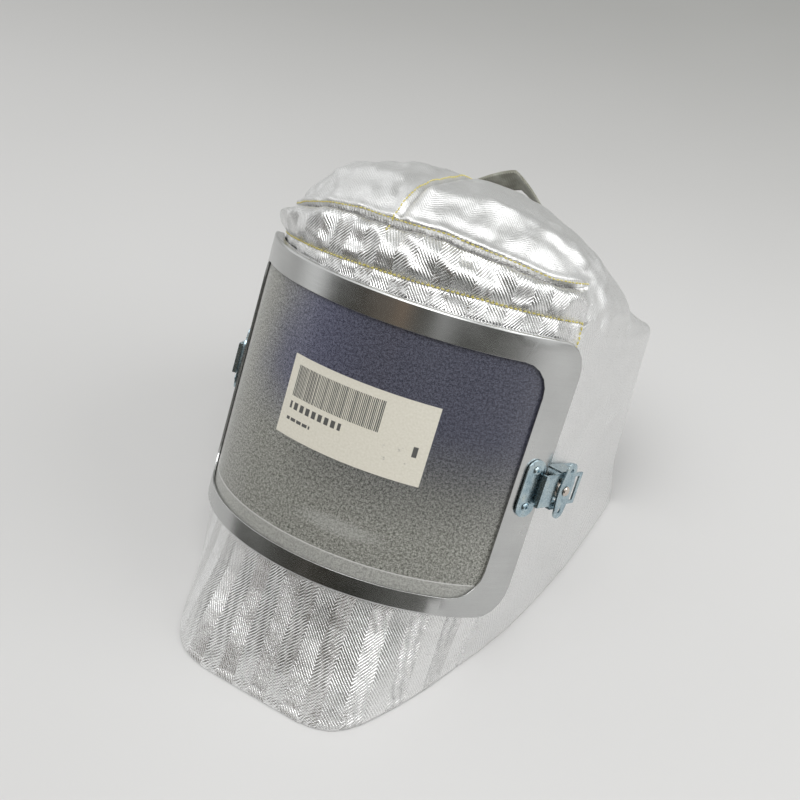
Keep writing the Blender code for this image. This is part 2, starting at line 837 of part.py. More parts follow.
def latches(shell, frame_plate):
    rivet_x, rivet_y = -0.0155, 0.0070
    for side, hand in ((-1, "left"), (1, "right")):
        on_frame = tangent_frame(KEEPER_ANGLE, LATCH_UP, FRONT_FACE, side)
        on_cloth = tangent_frame(LATCH_ANGLE, LATCH_UP, WALL_RADIUS, side)
        keeper(f"keeper_{hand}", on_frame)
        latch_base(f"latch_base_{hand}", on_cloth, rivet_x, rivet_y)
        latch_hook(f"latch_hook_{hand}", on_cloth)
        latch_hub(f"latch_hub_{hand}", on_cloth)
        latch_wing(f"latch_wing_{hand}", on_cloth)
        rivet(f"latch_pivot_{hand}", on_cloth, pivot_rivet_profile(), "nickel")
        boolean(shell, rivet_hole(f"pivot_hole_{hand}", on_cloth, 0.0023))
        for level, sign in (("upper", -side), ("lower", side)):
            spot = on_frame @ Matrix.Translation((0, sign * KEEPER_HOLE, 0))
            rivet(f"keeper_rivet_{hand}_{level}", spot, keeper_rivet_profile())
            boolean(frame_plate, rivet_hole(f"keeper_hole_{hand}_{level}", spot, 0.0019))
            spot = on_cloth @ Matrix.Translation((rivet_x, sign * rivet_y, 0))
            rivet(f"latch_rivet_{hand}_{level}", spot, base_rivet_profile())
            boolean(shell, rivet_hole(f"latch_hole_{hand}_{level}", spot, 0.0020))


# Head suspension


def band_point(angle, inset, up):
    """A point of the headband's path, square-shouldered towards the back of the head."""
    power = 1.0 if abs(angle) < pi / 2 else 2 / 2.4
    x = BAND_HALF_WIDTH * abs(sin(angle)) ** power
    depth = BAND_HALF_DEPTH * abs(cos(angle)) ** power
    forward = BAND_FORWARD + (depth if cos(angle) > 0 else -depth)
    flat = Vector((x, forward - BAND_FORWARD))
    flat -= flat.normalized() * inset
    return local(flat.x if angle >= 0 else -flat.x, BAND_FORWARD + flat.y, up)


def band_strip(name, half_angle, columns, inset, thickness, low, high, slot):
    sections = []
    for column in range(-columns, columns + 1):
        angle = half_angle * column / columns
        sections.append([
            band_point(angle, inset, low),
            band_point(angle, inset, high),
            band_point(angle, inset + thickness, high),
            band_point(angle, inset + thickness, low),
        ])
    return add(name, loft_mesh(name, sections), slot)


def path_strip(name, path, thickness, low, high, slot):
    """A strip standing on edge along a path of (x, forward) points."""
    points = [Vector(p) for p in path]
    sections = []
    for i, point in enumerate(points):
        along = (points[min(i + 1, len(points) - 1)] - points[max(i - 1, 0)]).normalized()
        side = Vector((along.y, -along.x)) * thickness / 2
        a, b = point + side, point - side
        sections.append([local(*a, low), local(*a, high), local(*b, high), local(*b, low)])
    return add(name, loft_mesh(name, sections), slot)


def side_frame(side):
    """Local Z points out sideways from the suspension's tilt axis."""
    turn = Matrix.Rotation(side * pi / 2, 4, "Y")
    return Matrix.Translation(local(0, BAND_FORWARD, TILT_UP)) @ turn


def hanger_arm(name, side):
    """Strap of sheet from the window's side border in to the suspension's pivot."""
    radius = WALL_RADIUS - CLOTH - GAP - 0.0008
    arc = [(radius * sin(radians(a)), AXIS_FORWARD + radius * cos(radians(a)))
           for a in (59, 63, 67, 71)]
    bend = [(0.1035, -0.0530), (0.0970, -0.0640), (0.0880, -0.0750), (0.0810, -0.0830),
            (0.0780, -0.0880), (0.0775, -0.0920), (0.0775, -0.1080)]
    path = [(side * x, forward) for x, forward in arc + bend]
    return path_strip(name, path, 0.0016, 0.206, 0.222, "satin_aluminium")


def arm_rivet_profile():
    head = -CLOTH - 2 * GAP - 0.0016
    tail = SHEET + 2 * GAP
    return (
        (0, tail + 0.0009),
        (0.0022, tail + 0.0009),
        (0.0024, tail),
        (RIVET_SHANK, tail),
        (RIVET_SHANK, head),
        (0.0028, head),
        (0.0020, head - 0.0009),
        (0, head - 0.0010),
    )


def pivot_bolt_profile():
    outer = 0.0775 + 0.0008 + GAP
    inner = BAND_HALF_WIDTH - BAND_THICKNESS - GAP
    return (
        (0, outer + 0.0020),
        (0.0040, outer + 0.0018),
        (0.0048, outer),
        (PIVOT_SHANK, outer),
        (PIVOT_SHANK, inner),
        (0.0035, inner),
        (0.0035, inner - 0.0008),
        (0, inner - 0.0010),
    )


def crown_strap():
    """Webbing arch over the head, from one side of the headband to the other."""
    half, start, rise, thickness = 0.0711, 0.219, 0.066, 0.0015
    sections = []
    for i in range(25):
        a = pi * i / 24
        out = Vector((cos(a), sin(a)))
        middle = Vector((half * cos(a), start + rise * sin(a)))
        inner, outer = middle - out * thickness / 2, middle + out * thickness / 2
        front, rear = BAND_FORWARD + 0.009, BAND_FORWARD - 0.009
        sections.append([
            local(outer.x, front, outer.y),
            local(outer.x, rear, outer.y),
            local(inner.x, rear, inner.y),
            local(inner.x, front, inner.y),
        ])
    return add("crown_strap", loft_mesh("crown_strap", sections), "webbing")


def knob_frame():
    """Local Z points out of the back of the head along the knob's shaft."""
    return Matrix.Translation(local(0, -0.1900, TILT_UP)) @ Matrix.Rotation(-pi / 2, 4, "X")


def gear_outline():
    """Eight blunt teeth with a gap facing up and another facing down."""
    root, tip = RACK_PITCH_RADIUS - 0.0010, RACK_PITCH_RADIUS + 0.0008
    points = []
    for tooth in range(PINION_TEETH):
        middle = 2 * pi * (tooth + 0.5) / PINION_TEETH
        for radius, offset in ((root, -0.19), (tip, -0.075), (tip, 0.075), (root, 0.19)):
            a = middle + offset
            points.append((radius * cos(a), radius * sin(a)))
    return points


def ratchet_pinion(frame):
    made = add("ratchet_pinion", plate_mesh("ratchet_pinion", [gear_outline()], 0.0010, 0.0028),
               "knob_plastic", matrix=frame)
    shaft = rod_mesh("pinion_shaft", 0.0024, 0.0015, 0.0130, 16)
    boolean(made, cutter("pinion_shaft", shaft, matrix=frame), "UNION")
    return made


def rack(name, side, frame):
    """Toothed tongue of the headband's end. The left one runs above the pinion."""
    pitch = 2 * pi * RACK_PITCH_RADIUS / PINION_TEETH
    root, tip = RACK_PITCH_RADIUS + 0.0010, RACK_PITCH_RADIUS - 0.0008
    edge = []
    for tooth in range(-4, 5):
        x = tooth * pitch
        edge += [(x - 0.0008, root), (x - 0.0003, tip), (x + 0.0003, tip), (x + 0.0008, root)]
    outline = [(-0.0440, root), *edge, (0.0160, root), (0.0160, 0.0100), (-0.0440, 0.0100)]
    # The knob's frame has its Y axis pointing down the hood, so the upper rack is at -Y.
    outline = [(-side * x, side * y) for x, y in outline]
    return add(name, plate_mesh(name, [outline], 0.0010, 0.0026), "black_plastic", matrix=frame)


def ratchet_housing(frame):
    made = add("ratchet_housing",
               box_mesh("ratchet_housing", (-0.030, -0.0135, -0.0014), (0.030, 0.0135, 0.0062)),
               "black_plastic", matrix=frame)
    bevel(made, 0.0012)
    slot = box_mesh("housing_slot", (-0.040, -0.0105, 0.0006), (0.040, 0.0105, 0.0032))
    boolean(made, cutter("housing_slot", slot, matrix=frame))
    bore = rod_mesh("housing_bore", 0.0027, 0.0020, 0.0100, 16)
    boolean(made, cutter("housing_bore", bore, matrix=frame))
    return made


def ratchet_knob(frame):
    count = 72
    grip = []
    for i in range(count):
        a = 2 * pi * i / count
        radius = KNOB_RADIUS + 0.0007 * cos(12 * a)
        grip.append((radius * cos(a), radius * sin(a)))
    mesh = plate_mesh("ratchet_knob", [grip, circle(0.0026, count=16)], 0.0066, 0.0150)
    return add("ratchet_knob", mesh, "knob_plastic", matrix=frame)


def suspension(shell, rear_plate):
    headband = band_strip("headband", BAND_END_ANGLE, 34, 0.0, BAND_THICKNESS,
                          BAND_LOW, BAND_HIGH, "black_plastic")
    band_strip("sweatband", radians(62), 14, BAND_THICKNESS + GAP, 0.005,
               BAND_LOW - 0.003, BAND_HIGH + 0.003, "sweat_foam")
    crown_strap()
    for side, hand in ((-1, "left"), (1, "right")):
        arm = hanger_arm(f"hanger_{hand}", side)
        outward = side_frame(side)
        turned(f"hanger_bolt_{hand}", pivot_bolt_profile(), "nickel", HOOD, outward, steps=12)
        bore = rod_mesh(f"hanger_bore_{hand}", PIVOT_SHANK + 0.0002, 0.060, 0.090, 16)
        bore = cutter(f"hanger_bore_{hand}", bore, matrix=outward)
        boolean(arm, bore)
        boolean(headband, bore)
        for level, up in (("upper", 0.2190), ("lower", 0.2095)):
            spot = tangent_frame(KEEPER_ANGLE, up, WALL_RADIUS, side)
            rivet(f"hanger_rivet_{hand}_{level}", spot, arm_rivet_profile(), "satin_aluminium")
            hole = rivet_hole(f"hanger_hole_{hand}_{level}", spot, 0.0019)
            for drilled in (arm, shell, rear_plate):
                boolean(drilled, hole)
    frame = knob_frame()
    rack("band_end_left", -1, frame)
    rack("band_end_right", 1, frame)
    ratchet_pinion(frame)
    ratchet_housing(frame)
    ratchet_knob(frame)


def build():
    shell = hood_shell()
    boolean(shell, window_cutter())
    hem_binding()
    crown_panels()
    back_loop()
    rear_plate = rear_frame()
    lens_gasket()
    lens()
    label()
    frame_plate = front_frame()
    latches(shell, frame_plate)
    suspension(shell, rear_plate)


build()
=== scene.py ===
"""Looks of an aluminised heat hood with a wrap-round window, built round its CAD frame.

Everything is in metres, in the CAD model's frame: +Z up, -Y the way the window faces. The hood
leans back, so most places are worked out in the hood's own frame instead: x to the right, f
forward from the window's axis, u up the window, and the angle round that axis from the front.
"""

import json
from math import atan2, cos, pi, radians, sin

import bmesh
import bpy
import numpy as np
from mathutils import Matrix, Vector, noise
from mathutils.interpolate import poly_3d_calc
from mathutils.bvhtree import BVHTree


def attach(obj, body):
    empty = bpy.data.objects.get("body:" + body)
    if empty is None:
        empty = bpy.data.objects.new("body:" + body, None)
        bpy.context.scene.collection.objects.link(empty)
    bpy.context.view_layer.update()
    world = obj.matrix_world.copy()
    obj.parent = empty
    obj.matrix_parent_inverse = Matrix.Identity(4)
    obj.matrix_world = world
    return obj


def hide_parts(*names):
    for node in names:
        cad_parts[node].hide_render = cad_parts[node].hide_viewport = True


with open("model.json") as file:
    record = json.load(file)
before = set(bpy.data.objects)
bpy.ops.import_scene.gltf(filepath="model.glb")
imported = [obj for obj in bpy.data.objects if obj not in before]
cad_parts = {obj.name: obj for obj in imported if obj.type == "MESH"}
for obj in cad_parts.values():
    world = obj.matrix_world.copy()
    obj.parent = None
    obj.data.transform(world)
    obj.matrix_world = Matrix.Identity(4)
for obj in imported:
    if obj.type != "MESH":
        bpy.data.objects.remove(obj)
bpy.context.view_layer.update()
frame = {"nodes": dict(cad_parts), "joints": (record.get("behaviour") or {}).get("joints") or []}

NODES = frame["nodes"]
JOINTS = {joint["name"]: joint for joint in frame["joints"]}
MM = 0.001
HANDS = ("left", "right")

# The hood's own frame, from the knob's axis and from where the latches' axes meet.
RIGHT = Vector((1, 0, 0))
FORWARD = -Vector(JOINTS["knob_turn"]["axis"]).normalized()
UP = FORWARD.cross(RIGHT)
LATCH_UP = 0.1543
LATCH_SPOT = Vector(JOINTS["right_wing_turn"]["pos_m"])
LATCH_AXIS = Vector(JOINTS["right_wing_turn"]["axis"])
ORIGIN = LATCH_SPOT - LATCH_AXIS * (LATCH_SPOT.x / LATCH_AXIS.x) - UP * LATCH_UP

# Camera.
CAMERA_SPOT = Vector((0.3198, -0.4918, 0.6533))
CAMERA_YAW = radians(32.70)
CAMERA_PITCH = radians(42.13)
CAMERA_LENS = 53.70
SENSOR_WIDTH = 36.0

# Studio.
FLOOR_SIZE = 40
FLAG_SPOT = (0.2, -1.84, 0.002)
FLAG_SCALE = (3.4, 3.20, 1)
# Lights: name, place, what it points at, width and power in watts.
LIGHTS = (
    ("overhead", (0.3, -0.5, 1.7), (0.1, -0.2, 0.1), 1.2, 8.0),
    ("side", (1.3, 0.6, 1.3), (0.4, 0.4, 0), 1.2, 8.5),
)

# Cloth.
CLOTH_NODES = ("hood_shell", "hem_binding", "crown_left", "crown_right", "forehead_panel")
VOXEL = 1.25 * MM
WALL_RADIUS = 0.1168
FRAME_HALF = radians(70.5)
FRAME_LOW = 0.0631
FRAME_HIGH = 0.2494
OPENING_LOW = 0.0761
CROWN_START = 0.245
CROWN_MIDDLE = (0.0, -0.035, 0.236)
SIM_BASE = 0.247
SIM_VOXEL = 4.5 * MM
SIM_FRAMES = 20
SIM_PRESSURE = 4.0
SIM_GROWTH = 0.022
SIM_OUT = 6 * MM
SIM_IN = 2.5 * MM
# Seams as (degrees round the window's axis, height up the hood in mm).
LOWER_SEAM = ((-66, 250), (-50, 253), (-35, 255), (-24, 256), (0, 259), (30, 261), (68, 260))
PLEAT = ((-66, 266), (-50, 272), (-28, 282), (-14, 286), (0, 286.6), (17, 288), (38, 284),
         (54, 279.5), (66, 280))
PLEAT_RIGHT = 66
SEAM_RIGHT = 68.2
SEAM_DROP = 242.6
# The crown's ridge seam runs front to back this far right of the middle.
RIDGE_X = 1.5 * MM


def hood(points):
    """World points as arrays of x, forward and up in the hood's frame."""
    moved = np.asarray(points, float).reshape(-1, 3) - np.array(ORIGIN)
    return moved @ np.array(RIGHT), moved @ np.array(FORWARD), moved @ np.array(UP)


def place(x, forward, up):
    return ORIGIN + RIGHT * x + FORWARD * forward + UP * up


def smooth_step(low, high, x):
    t = np.clip((np.asarray(x, float) - low) / (high - low), 0, 1)
    return t * t * (3 - 2 * t)


def seam_height(seam, angle):
    """Height of a seam at these angles, in metres."""
    return np.interp(np.degrees(angle), [a for a, _ in seam], [u * MM for _, u in seam])


# Materials


class Shader:
    """One procedural material, with short calls for the nodes that it is made of."""

    def __init__(self, name, **sockets):
        self.material = bpy.data.materials.new(name)
        self.material.use_nodes = True
        self.tree = self.material.node_tree
        self.surface = self.tree.nodes["Principled BSDF"]
        for socket, value in sockets.items():
            self.surface.inputs[socket.replace("_", " ")].default_value = value

    def node(self, kind, inputs=(), **settings):
        made = self.tree.nodes.new("ShaderNode" + kind)
        for key, value in settings.items():
            setattr(made, key, value)
        for key, value in dict(inputs).items():
            self.feed(made.inputs[key], value)
        return made

    def feed(self, socket, value):
        if isinstance(value, bpy.types.NodeSocket):
            self.tree.links.new(value, socket)
        else:
            socket.default_value = value

    def set(self, socket, value):
        self.feed(self.surface.inputs[socket], value)

    def math(self, operation, *values):
        return self.node("Math", dict(enumerate(values)), operation=operation).outputs[0]

    def object_point(self, scale=(1, 1, 1)):
        point = self.node("TexCoord").outputs["Object"]
        return self.node("Mapping", {"Vector": point, "Scale": scale}).outputs[0]

    def split(self, vector):
        return tuple(self.node("SeparateXYZ", {0: vector}).outputs)

    def cloth_point(self):
        """The two coordinates of the cloth map, in metres round and up the hood."""
        point = self.node("UVMap", uv_map="cloth").outputs[0]
        around, up, _ = self.split(point)
        return point, around, up

    def noise(self, vector, scale, detail=2.0, roughness=0.5, distortion=0.0):
        inputs = {"Vector": vector, "Scale": scale, "Detail": detail,
                  "Roughness": roughness, "Distortion": distortion}
        return self.node("TexNoise", inputs).outputs[0]

    def ramp(self, factor, *stops):
        made = self.node("ValToRGB", {0: factor})
        points = made.color_ramp.elements
        while len(points) < len(stops):
            points.new(0.5)
        for point, (at, colour) in zip(points, stops):
            point.position = at
            point.color = (*colour, 1) if len(colour) == 3 else colour
        return made.outputs[0]

    def grey(self, factor, *stops):
        """A ramp of plain values, for roughness, masks and heights."""
        return self.ramp(factor, *[(at, (value,) * 3) for at, value in stops])

    def span(self, value, low, high, to_low=0.0, to_high=1.0):
        inputs = {0: value, 1: low, 2: high, 3: to_low, 4: to_high}
        made = self.node("MapRange", inputs, interpolation_type="SMOOTHSTEP")
        return made.outputs[0]

    def mix(self, factor, a, b, blend="MIX"):
        made = self.node("Mix", data_type="RGBA", blend_type=blend)
        colours = [socket for socket in made.inputs if socket.type == "RGBA"]
        self.feed(made.inputs[0], factor)
        for socket, value in zip(colours, (a, b)):
            plain = isinstance(value, tuple) and len(value) == 3
            self.feed(socket, (*value, 1) if plain else value)
        return made.outputs[2]

    def bump(self, height, distance, strength=1.0, normal=None):
        inputs = {"Height": height, "Distance": distance, "Strength": strength}
        if normal:
            inputs["Normal"] = normal
        return self.node("Bump", inputs).outputs[0]


def herringbone(shader, around, up, stripe, pitch):
    """Slanted ribs that turn back at each stripe's edge, from 0 to 1."""
    zigzag = shader.math("PINGPONG", around, stripe)
    along = shader.math("ADD", shader.math("MULTIPLY", up, 0.80), zigzag)
    wave = shader.math("SINE", shader.math("MULTIPLY", along, 2 * pi / pitch))
    return shader.math("MULTIPLY_ADD", wave, 0.5, 0.5)


def aluminised_cloth():
    """Metallised woven face: herringbone ribs, cross yarns and fine crinkles in the film."""
    made = Shader("aluminised_cloth", Metallic=1.0)
    point, around, up = made.cloth_point()
    wander = made.math("MULTIPLY", made.noise(point, 60.0, 3.0), 2.0 * MM)
    ribs = herringbone(made, made.math("ADD", around, wander), up, 12.0 * MM, 2.0 * MM)
    crease_shade = made.node("Attribute", attribute_name="crease_shade").outputs["Fac"]
    ribbed = made.node("Attribute", attribute_name="ribbed").outputs["Fac"]
    cross = made.math("SINE", made.math("MULTIPLY", made.math("SUBTRACT", up, around), 5200.0))
    grain = made.noise(point, 1300.0, 3.0, 0.65)
    worn = made.noise(point, 36.0, 4.0, 0.6)
    ribs_seen = made.math("MULTIPLY", ribs, made.grey(worn, (0.34, 0.55), (0.58, 1.0)))
    ribs_seen = made.math("MULTIPLY", ribs_seen, ribbed)
    height = made.math("MULTIPLY_ADD", grain, 0.8, made.math("MULTIPLY", ribs_seen, 1.2))
    height = made.math("MULTIPLY_ADD", cross, 0.08, height)
    crinkles = made.noise(point, 120.0, 3.0, 0.55, 0.8)
    creased = made.bump(crinkles, 1.0 * MM, 0.25)
    made.set("Normal", made.bump(height, 0.28 * MM, 0.95, creased))
    shade = made.math("MULTIPLY_ADD", ribs_seen, 0.45, made.math("MULTIPLY", grain, 0.70))
    film = made.ramp(
        shade, (0.18, (0.50, 0.50, 0.49)), (0.42, (0.90, 0.902, 0.90)), (0.8, (0.97, 0.97, 0.965)))
    # The crease attribute takes the colour nearly to black: painted shade in the pleat's fold, and
    # faintly along the seams.
    made.set("Base Color", made.mix(made.math("MULTIPLY", crease_shade, 0.93), film, (0.07, 0.065, 0.055)))
    satin = made.grey(made.noise(point, 300.0, 4.0), (0.3, 0.15), (0.7, 0.26))
    made.set("Roughness", made.math("ADD", satin, made.span(ribbed, 0.95, 0.15, 0.0, 0.18)))
    return made.material


def satin_metal(name, tint, dark, rough=0.30, streak=(6.0, 6.0, 900.0)):
    """Sheet or turned metal with fine streaks and cloudy polish."""
    made = Shader(name, Metallic=1.0)
    streaks = made.noise(made.object_point(streak), 1.0, 3.0, 0.6)
    clouds = made.noise(made.object_point(), 38.0, 4.0, 0.6)
    made.set("Base Color", made.ramp(
        made.math("MULTIPLY_ADD", clouds, 0.6, made.math("MULTIPLY", streaks, 0.4)),
        (0.30, dark), (0.62, tint)))
    made.set("Roughness", made.grey(clouds, (0.3, rough - 0.05), (0.7, rough + 0.07)))
    fine = made.bump(streaks, 0.02 * MM, 0.6)
    made.set("Normal", made.bump(clouds, 0.12 * MM, 0.35, fine))
    return made.material


def window_frame_metal():
    """Satin aluminium, rolled along its length, so the streaks follow the cloth map's lines."""
    made = Shader("satin_aluminium", Metallic=1.0)
    point, _, _ = made.cloth_point()
    stretched = made.node("Mapping", {"Vector": point, "Scale": (18.0, 1700.0, 1.0)}).outputs[0]
    streaks = made.noise(stretched, 1.0, 2.0, 0.5)
    clouds = made.noise(point, 26.0, 4.0, 0.55)
    scratches = made.noise(made.node(
        "Mapping", {"Vector": point, "Rotation": (0, 0, 0.6), "Scale": (40.0, 900.0, 1.0)},
    ).outputs[0], 1.0, 1.0)
    made.set("Base Color", made.ramp(
        made.math("MULTIPLY_ADD", streaks, 0.3, made.math("MULTIPLY", clouds, 0.7)),
        (0.30, (0.50, 0.505, 0.50)), (0.65, (0.60, 0.605, 0.60))))
    made.set("Roughness", made.grey(clouds, (0.30, 0.20), (0.70, 0.28)))
    fine = made.bump(streaks, 0.01 * MM, 0.25)
    scratched = made.bump(made.grey(scratches, (0.66, 0.0), (0.72, 1.0)), 0.01 * MM, 0.15, fine)
    made.set("Normal", made.bump(clouds, 0.25 * MM, 0.30, scratched))
    return made.material


def zinc_plate():
    made = Shader("zinc_plate", Metallic=1.0)
    point = made.object_point()
    clouds = made.noise(point, 160.0, 4.0, 0.6)
    spots = made.noise(point, 900.0, 2.0)
    colour = made.ramp(clouds, (0.30, (0.30, 0.41, 0.47)), (0.52, (0.46, 0.57, 0.62)),
                       (0.72, (0.54, 0.61, 0.60)))
    made.set("Base Color", made.mix(made.span(spots, 0.62, 0.70), colour, (0.22, 0.28, 0.31)))
    made.set("Roughness", made.grey(spots, (0.3, 0.20), (0.7, 0.32)))
    made.set("Normal", made.bump(spots, 0.05 * MM, 0.3))
    return made.material


def speckled_window(low):
    """Glossy sheet over a film of tangled grey fibres, paler along its edges, with a painted
    reflection tint and a painted highlight.
    """
    made = Shader("lens", Roughness=0.34, IOR=1.45, Coat_Weight=0.25, Coat_Roughness=0.12)
    point, around, up = made.cloth_point()
    fibres = made.noise(point, 1750.0, 2.0, 0.85, 0.3)
    clumps = made.noise(point, 620.0, 3.0, 0.7)
    tangle = made.math("MULTIPLY_ADD", clumps, 0.35, made.math("MULTIPLY", fibres, 0.65))
    drift = made.math("MULTIPLY", made.noise(point, 14.0, 3.0), 0.05)
    across = made.math("ADD", around, made.math("SUBTRACT", drift, 0.025))
    # Painted reflection tint: bluish and darker toward the top right, olive toward the lower left.
    blue_reflection = made.math("MULTIPLY", made.span(up, 0.135, 0.185), made.span(across, -0.085, -0.03))
    deep = made.math("MULTIPLY", made.span(up, 0.10, 0.16), made.span(across, -0.05, 0.03))
    cool = made.mix(blue_reflection, (0.055, 0.057, 0.045), (0.022, 0.024, 0.050))
    cool = made.mix(made.math("MULTIPLY", deep, 0.6), cool, (0.022, 0.022, 0.028))
    pale = made.mix(blue_reflection, (0.46, 0.46, 0.42), (0.185, 0.190, 0.27))
    pale = made.mix(made.math("MULTIPLY", deep, 0.55), pale, (0.085, 0.088, 0.100))
    edge = made.span(across, -0.088, -0.118)
    strip = made.span(up, low + 0.0094, low + 0.0086)
    pale_edges_and_highlight = made.math("MAXIMUM", made.math("MULTIPLY", edge, 0.55), made.math("MULTIPLY", strip, 0.42))
    # A faint painted highlight, low on the window: a soft pale ellipse that stands in for a
    # reflection.
    highlight_around, highlight_up, half_length, half_height = 0.024, 0.103, 0.034, 0.007
    sideways = made.math("DIVIDE", made.math("SUBTRACT", around, highlight_around), half_length)
    upright = made.math("DIVIDE", made.math("SUBTRACT", up, highlight_up), half_height)
    far = made.math("ADD", made.math("POWER", made.math("ABSOLUTE", sideways), 2.0),
                    made.math("POWER", made.math("ABSOLUTE", upright), 2.0))
    pale_edges_and_highlight = made.math("MAXIMUM", pale_edges_and_highlight, made.span(far, 1.0, 0.0, 0.0, 0.34))
    shade = made.mix(made.grey(tangle, (0.45, 0.0), (0.55, 1.0)), cool, pale)
    shade = made.mix(pale_edges_and_highlight, shade, (0.50, 0.50, 0.48))
    line = made.math("COMPARE", up, low + 0.0090, 0.0004)
    made.set("Base Color", made.mix(made.math("MULTIPLY", line, 0.5), shade, (0.85, 0.85, 0.84)))
    made.set("Normal", made.bump(tangle, 0.05 * MM, 0.25))
    return made.material


def label_paper(left, top, width, height):
    """Cream label with plain bars for print: no lettering, and no real code."""
    made = Shader("label_paper", Roughness=0.5, Coat_Weight=0.15, Coat_Roughness=0.25)
    point, around, up = made.cloth_point()
    across = made.math("DIVIDE", made.math("SUBTRACT", around, left), width)
    down = made.math("DIVIDE", made.math("SUBTRACT", top, up), height)

    def within(value, low, high):
        over = made.math("GREATER_THAN", value, low)
        return made.math("MULTIPLY", over, made.math("LESS_THAN", value, high))

    def block(x0, x1, y0, y1):
        return made.math("MULTIPLY", within(across, x0, x1), within(down, y0, y1))

    steps = made.math("MULTIPLY", across, 88.0)
    random = made.node("TexWhiteNoise", {"W": made.math("FLOOR", steps)},
                       noise_dimensions="1D").outputs[0]
    filled = made.math("LESS_THAN", made.math("FRACT", steps),
                       made.math("MULTIPLY_ADD", random, 0.38, 0.42))
    bars = made.math("MULTIPLY", filled, block(0.05, 0.68, 0.11, 0.50))
    gaps = made.math("FRACT", made.math("MULTIPLY", across, 21.0))
    words = made.math("MULTIPLY", made.math("LESS_THAN", gaps, 0.62), block(0.06, 0.45, 0.565, 0.655))
    small = made.math("MULTIPLY", made.math("LESS_THAN", gaps, 0.8), block(0.06, 0.25, 0.76, 0.80))
    mark = block(0.905, 0.935, 0.53, 0.66)
    ink = made.math("MAXIMUM", made.math("MAXIMUM", bars, words), made.math("MAXIMUM", small, mark))
    smudge = made.math("MULTIPLY", made.span(made.noise(point, 170.0, 4.0, 0.7), 0.60, 0.72),
                       block(0.70, 0.90, 0.45, 0.80))
    ink = made.math("MAXIMUM", ink, made.math("MULTIPLY", smudge, 0.5))
    paper = made.ramp(made.noise(point, 700.0, 4.0),
                      (0.3, (0.70, 0.67, 0.57)), (0.7, (0.78, 0.75, 0.66)))
    made.set("Base Color", made.mix(ink, paper, (0.10, 0.10, 0.095)))
    made.set("Normal", made.bump(made.noise(point, 60.0, 3.0), 0.3 * MM, 0.25))
    return made.material


def webbing_cloth():
    made = Shader("webbing", Roughness=0.9, Sheen_Weight=0.25)
    point = made.object_point()
    warp = made.node("TexWave", {"Vector": point, "Scale": 210.0, "Distortion": 1.2},
                     bands_direction="X").outputs[1]
    weft = made.node("TexWave", {"Vector": point, "Scale": 260.0, "Distortion": 1.0},
                     bands_direction="DIAGONAL").outputs[1]
    weave = made.math("MULTIPLY", warp, weft)
    dust = made.noise(point, 120.0, 4.0)
    colour = made.mix(weave, (0.20, 0.20, 0.16), (0.46, 0.455, 0.39))
    made.set("Base Color", made.mix(made.span(dust, 0.4, 0.8), colour, (0.40, 0.40, 0.35)))
    made.set("Normal", made.bump(weave, 0.35 * MM, 0.9))
    return made.material


def moulded_plastic(name, dark, light, rough):
    made = Shader(name)
    point = made.object_point()
    grain = made.noise(point, 1400.0, 2.0)
    cloud = made.noise(point, 55.0, 4.0)
    made.set("Base Color", made.ramp(cloud, (0.3, dark), (0.7, light)))
    made.set("Roughness", made.grey(cloud, (0.3, rough - 0.06), (0.7, rough + 0.08)))
    made.set("Normal", made.bump(grain, 0.06 * MM, 0.5))
    return made.material


def foam_cloth():
    made = Shader("sweat_foam", Roughness=0.95, Sheen_Weight=0.4)
    point = made.object_point()
    nap = made.noise(point, 900.0, 4.0, 0.7)
    cells = made.node("TexVoronoi", {"Vector": point, "Scale": 620.0}).outputs[0]
    made.set("Base Color", made.ramp(nap, (0.3, (0.05, 0.05, 0.06)), (0.7, (0.13, 0.13, 0.15))))
    made.set("Normal", made.bump(made.math("ADD", nap, cells), 0.25 * MM, 0.7))
    return made.material


def yellow_thread():
    made = Shader("yellow_thread", Roughness=0.75, Sheen_Weight=0.3)
    point = made.object_point()
    twist = made.node("TexWave", {"Vector": point, "Scale": 900.0, "Distortion": 2.0},
                      bands_direction="DIAGONAL").outputs[1]
    fray = made.noise(point, 500.0, 3.0)
    colour = made.mix(twist, (0.50, 0.42, 0.06), (0.82, 0.72, 0.20))
    made.set("Base Color", made.mix(made.span(fray, 0.45, 0.75), colour, (0.78, 0.72, 0.42)))
    made.set("Normal", made.bump(twist, 0.1 * MM, 0.6))
    return made.material


# Geometry helpers


def add_object(name, mesh, material, body="hood"):
    made = bpy.data.objects.new(name, mesh)
    bpy.context.scene.collection.objects.link(made)
    mesh.materials.clear()
    mesh.materials.append(material)
    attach(made, body)
    return made


def evaluated_mesh(obj):
    bpy.context.view_layer.update()
    return bpy.data.meshes.new_from_object(obj.evaluated_get(bpy.context.evaluated_depsgraph_get()))


def joined_copy(nodes):
    """One welded bmesh of these CAD nodes."""
    bm = bmesh.new()
    for node in nodes:
        bm.from_mesh(NODES[node].data)
    bmesh.ops.remove_doubles(bm, verts=bm.verts, dist=0.01 * MM)
    return bm


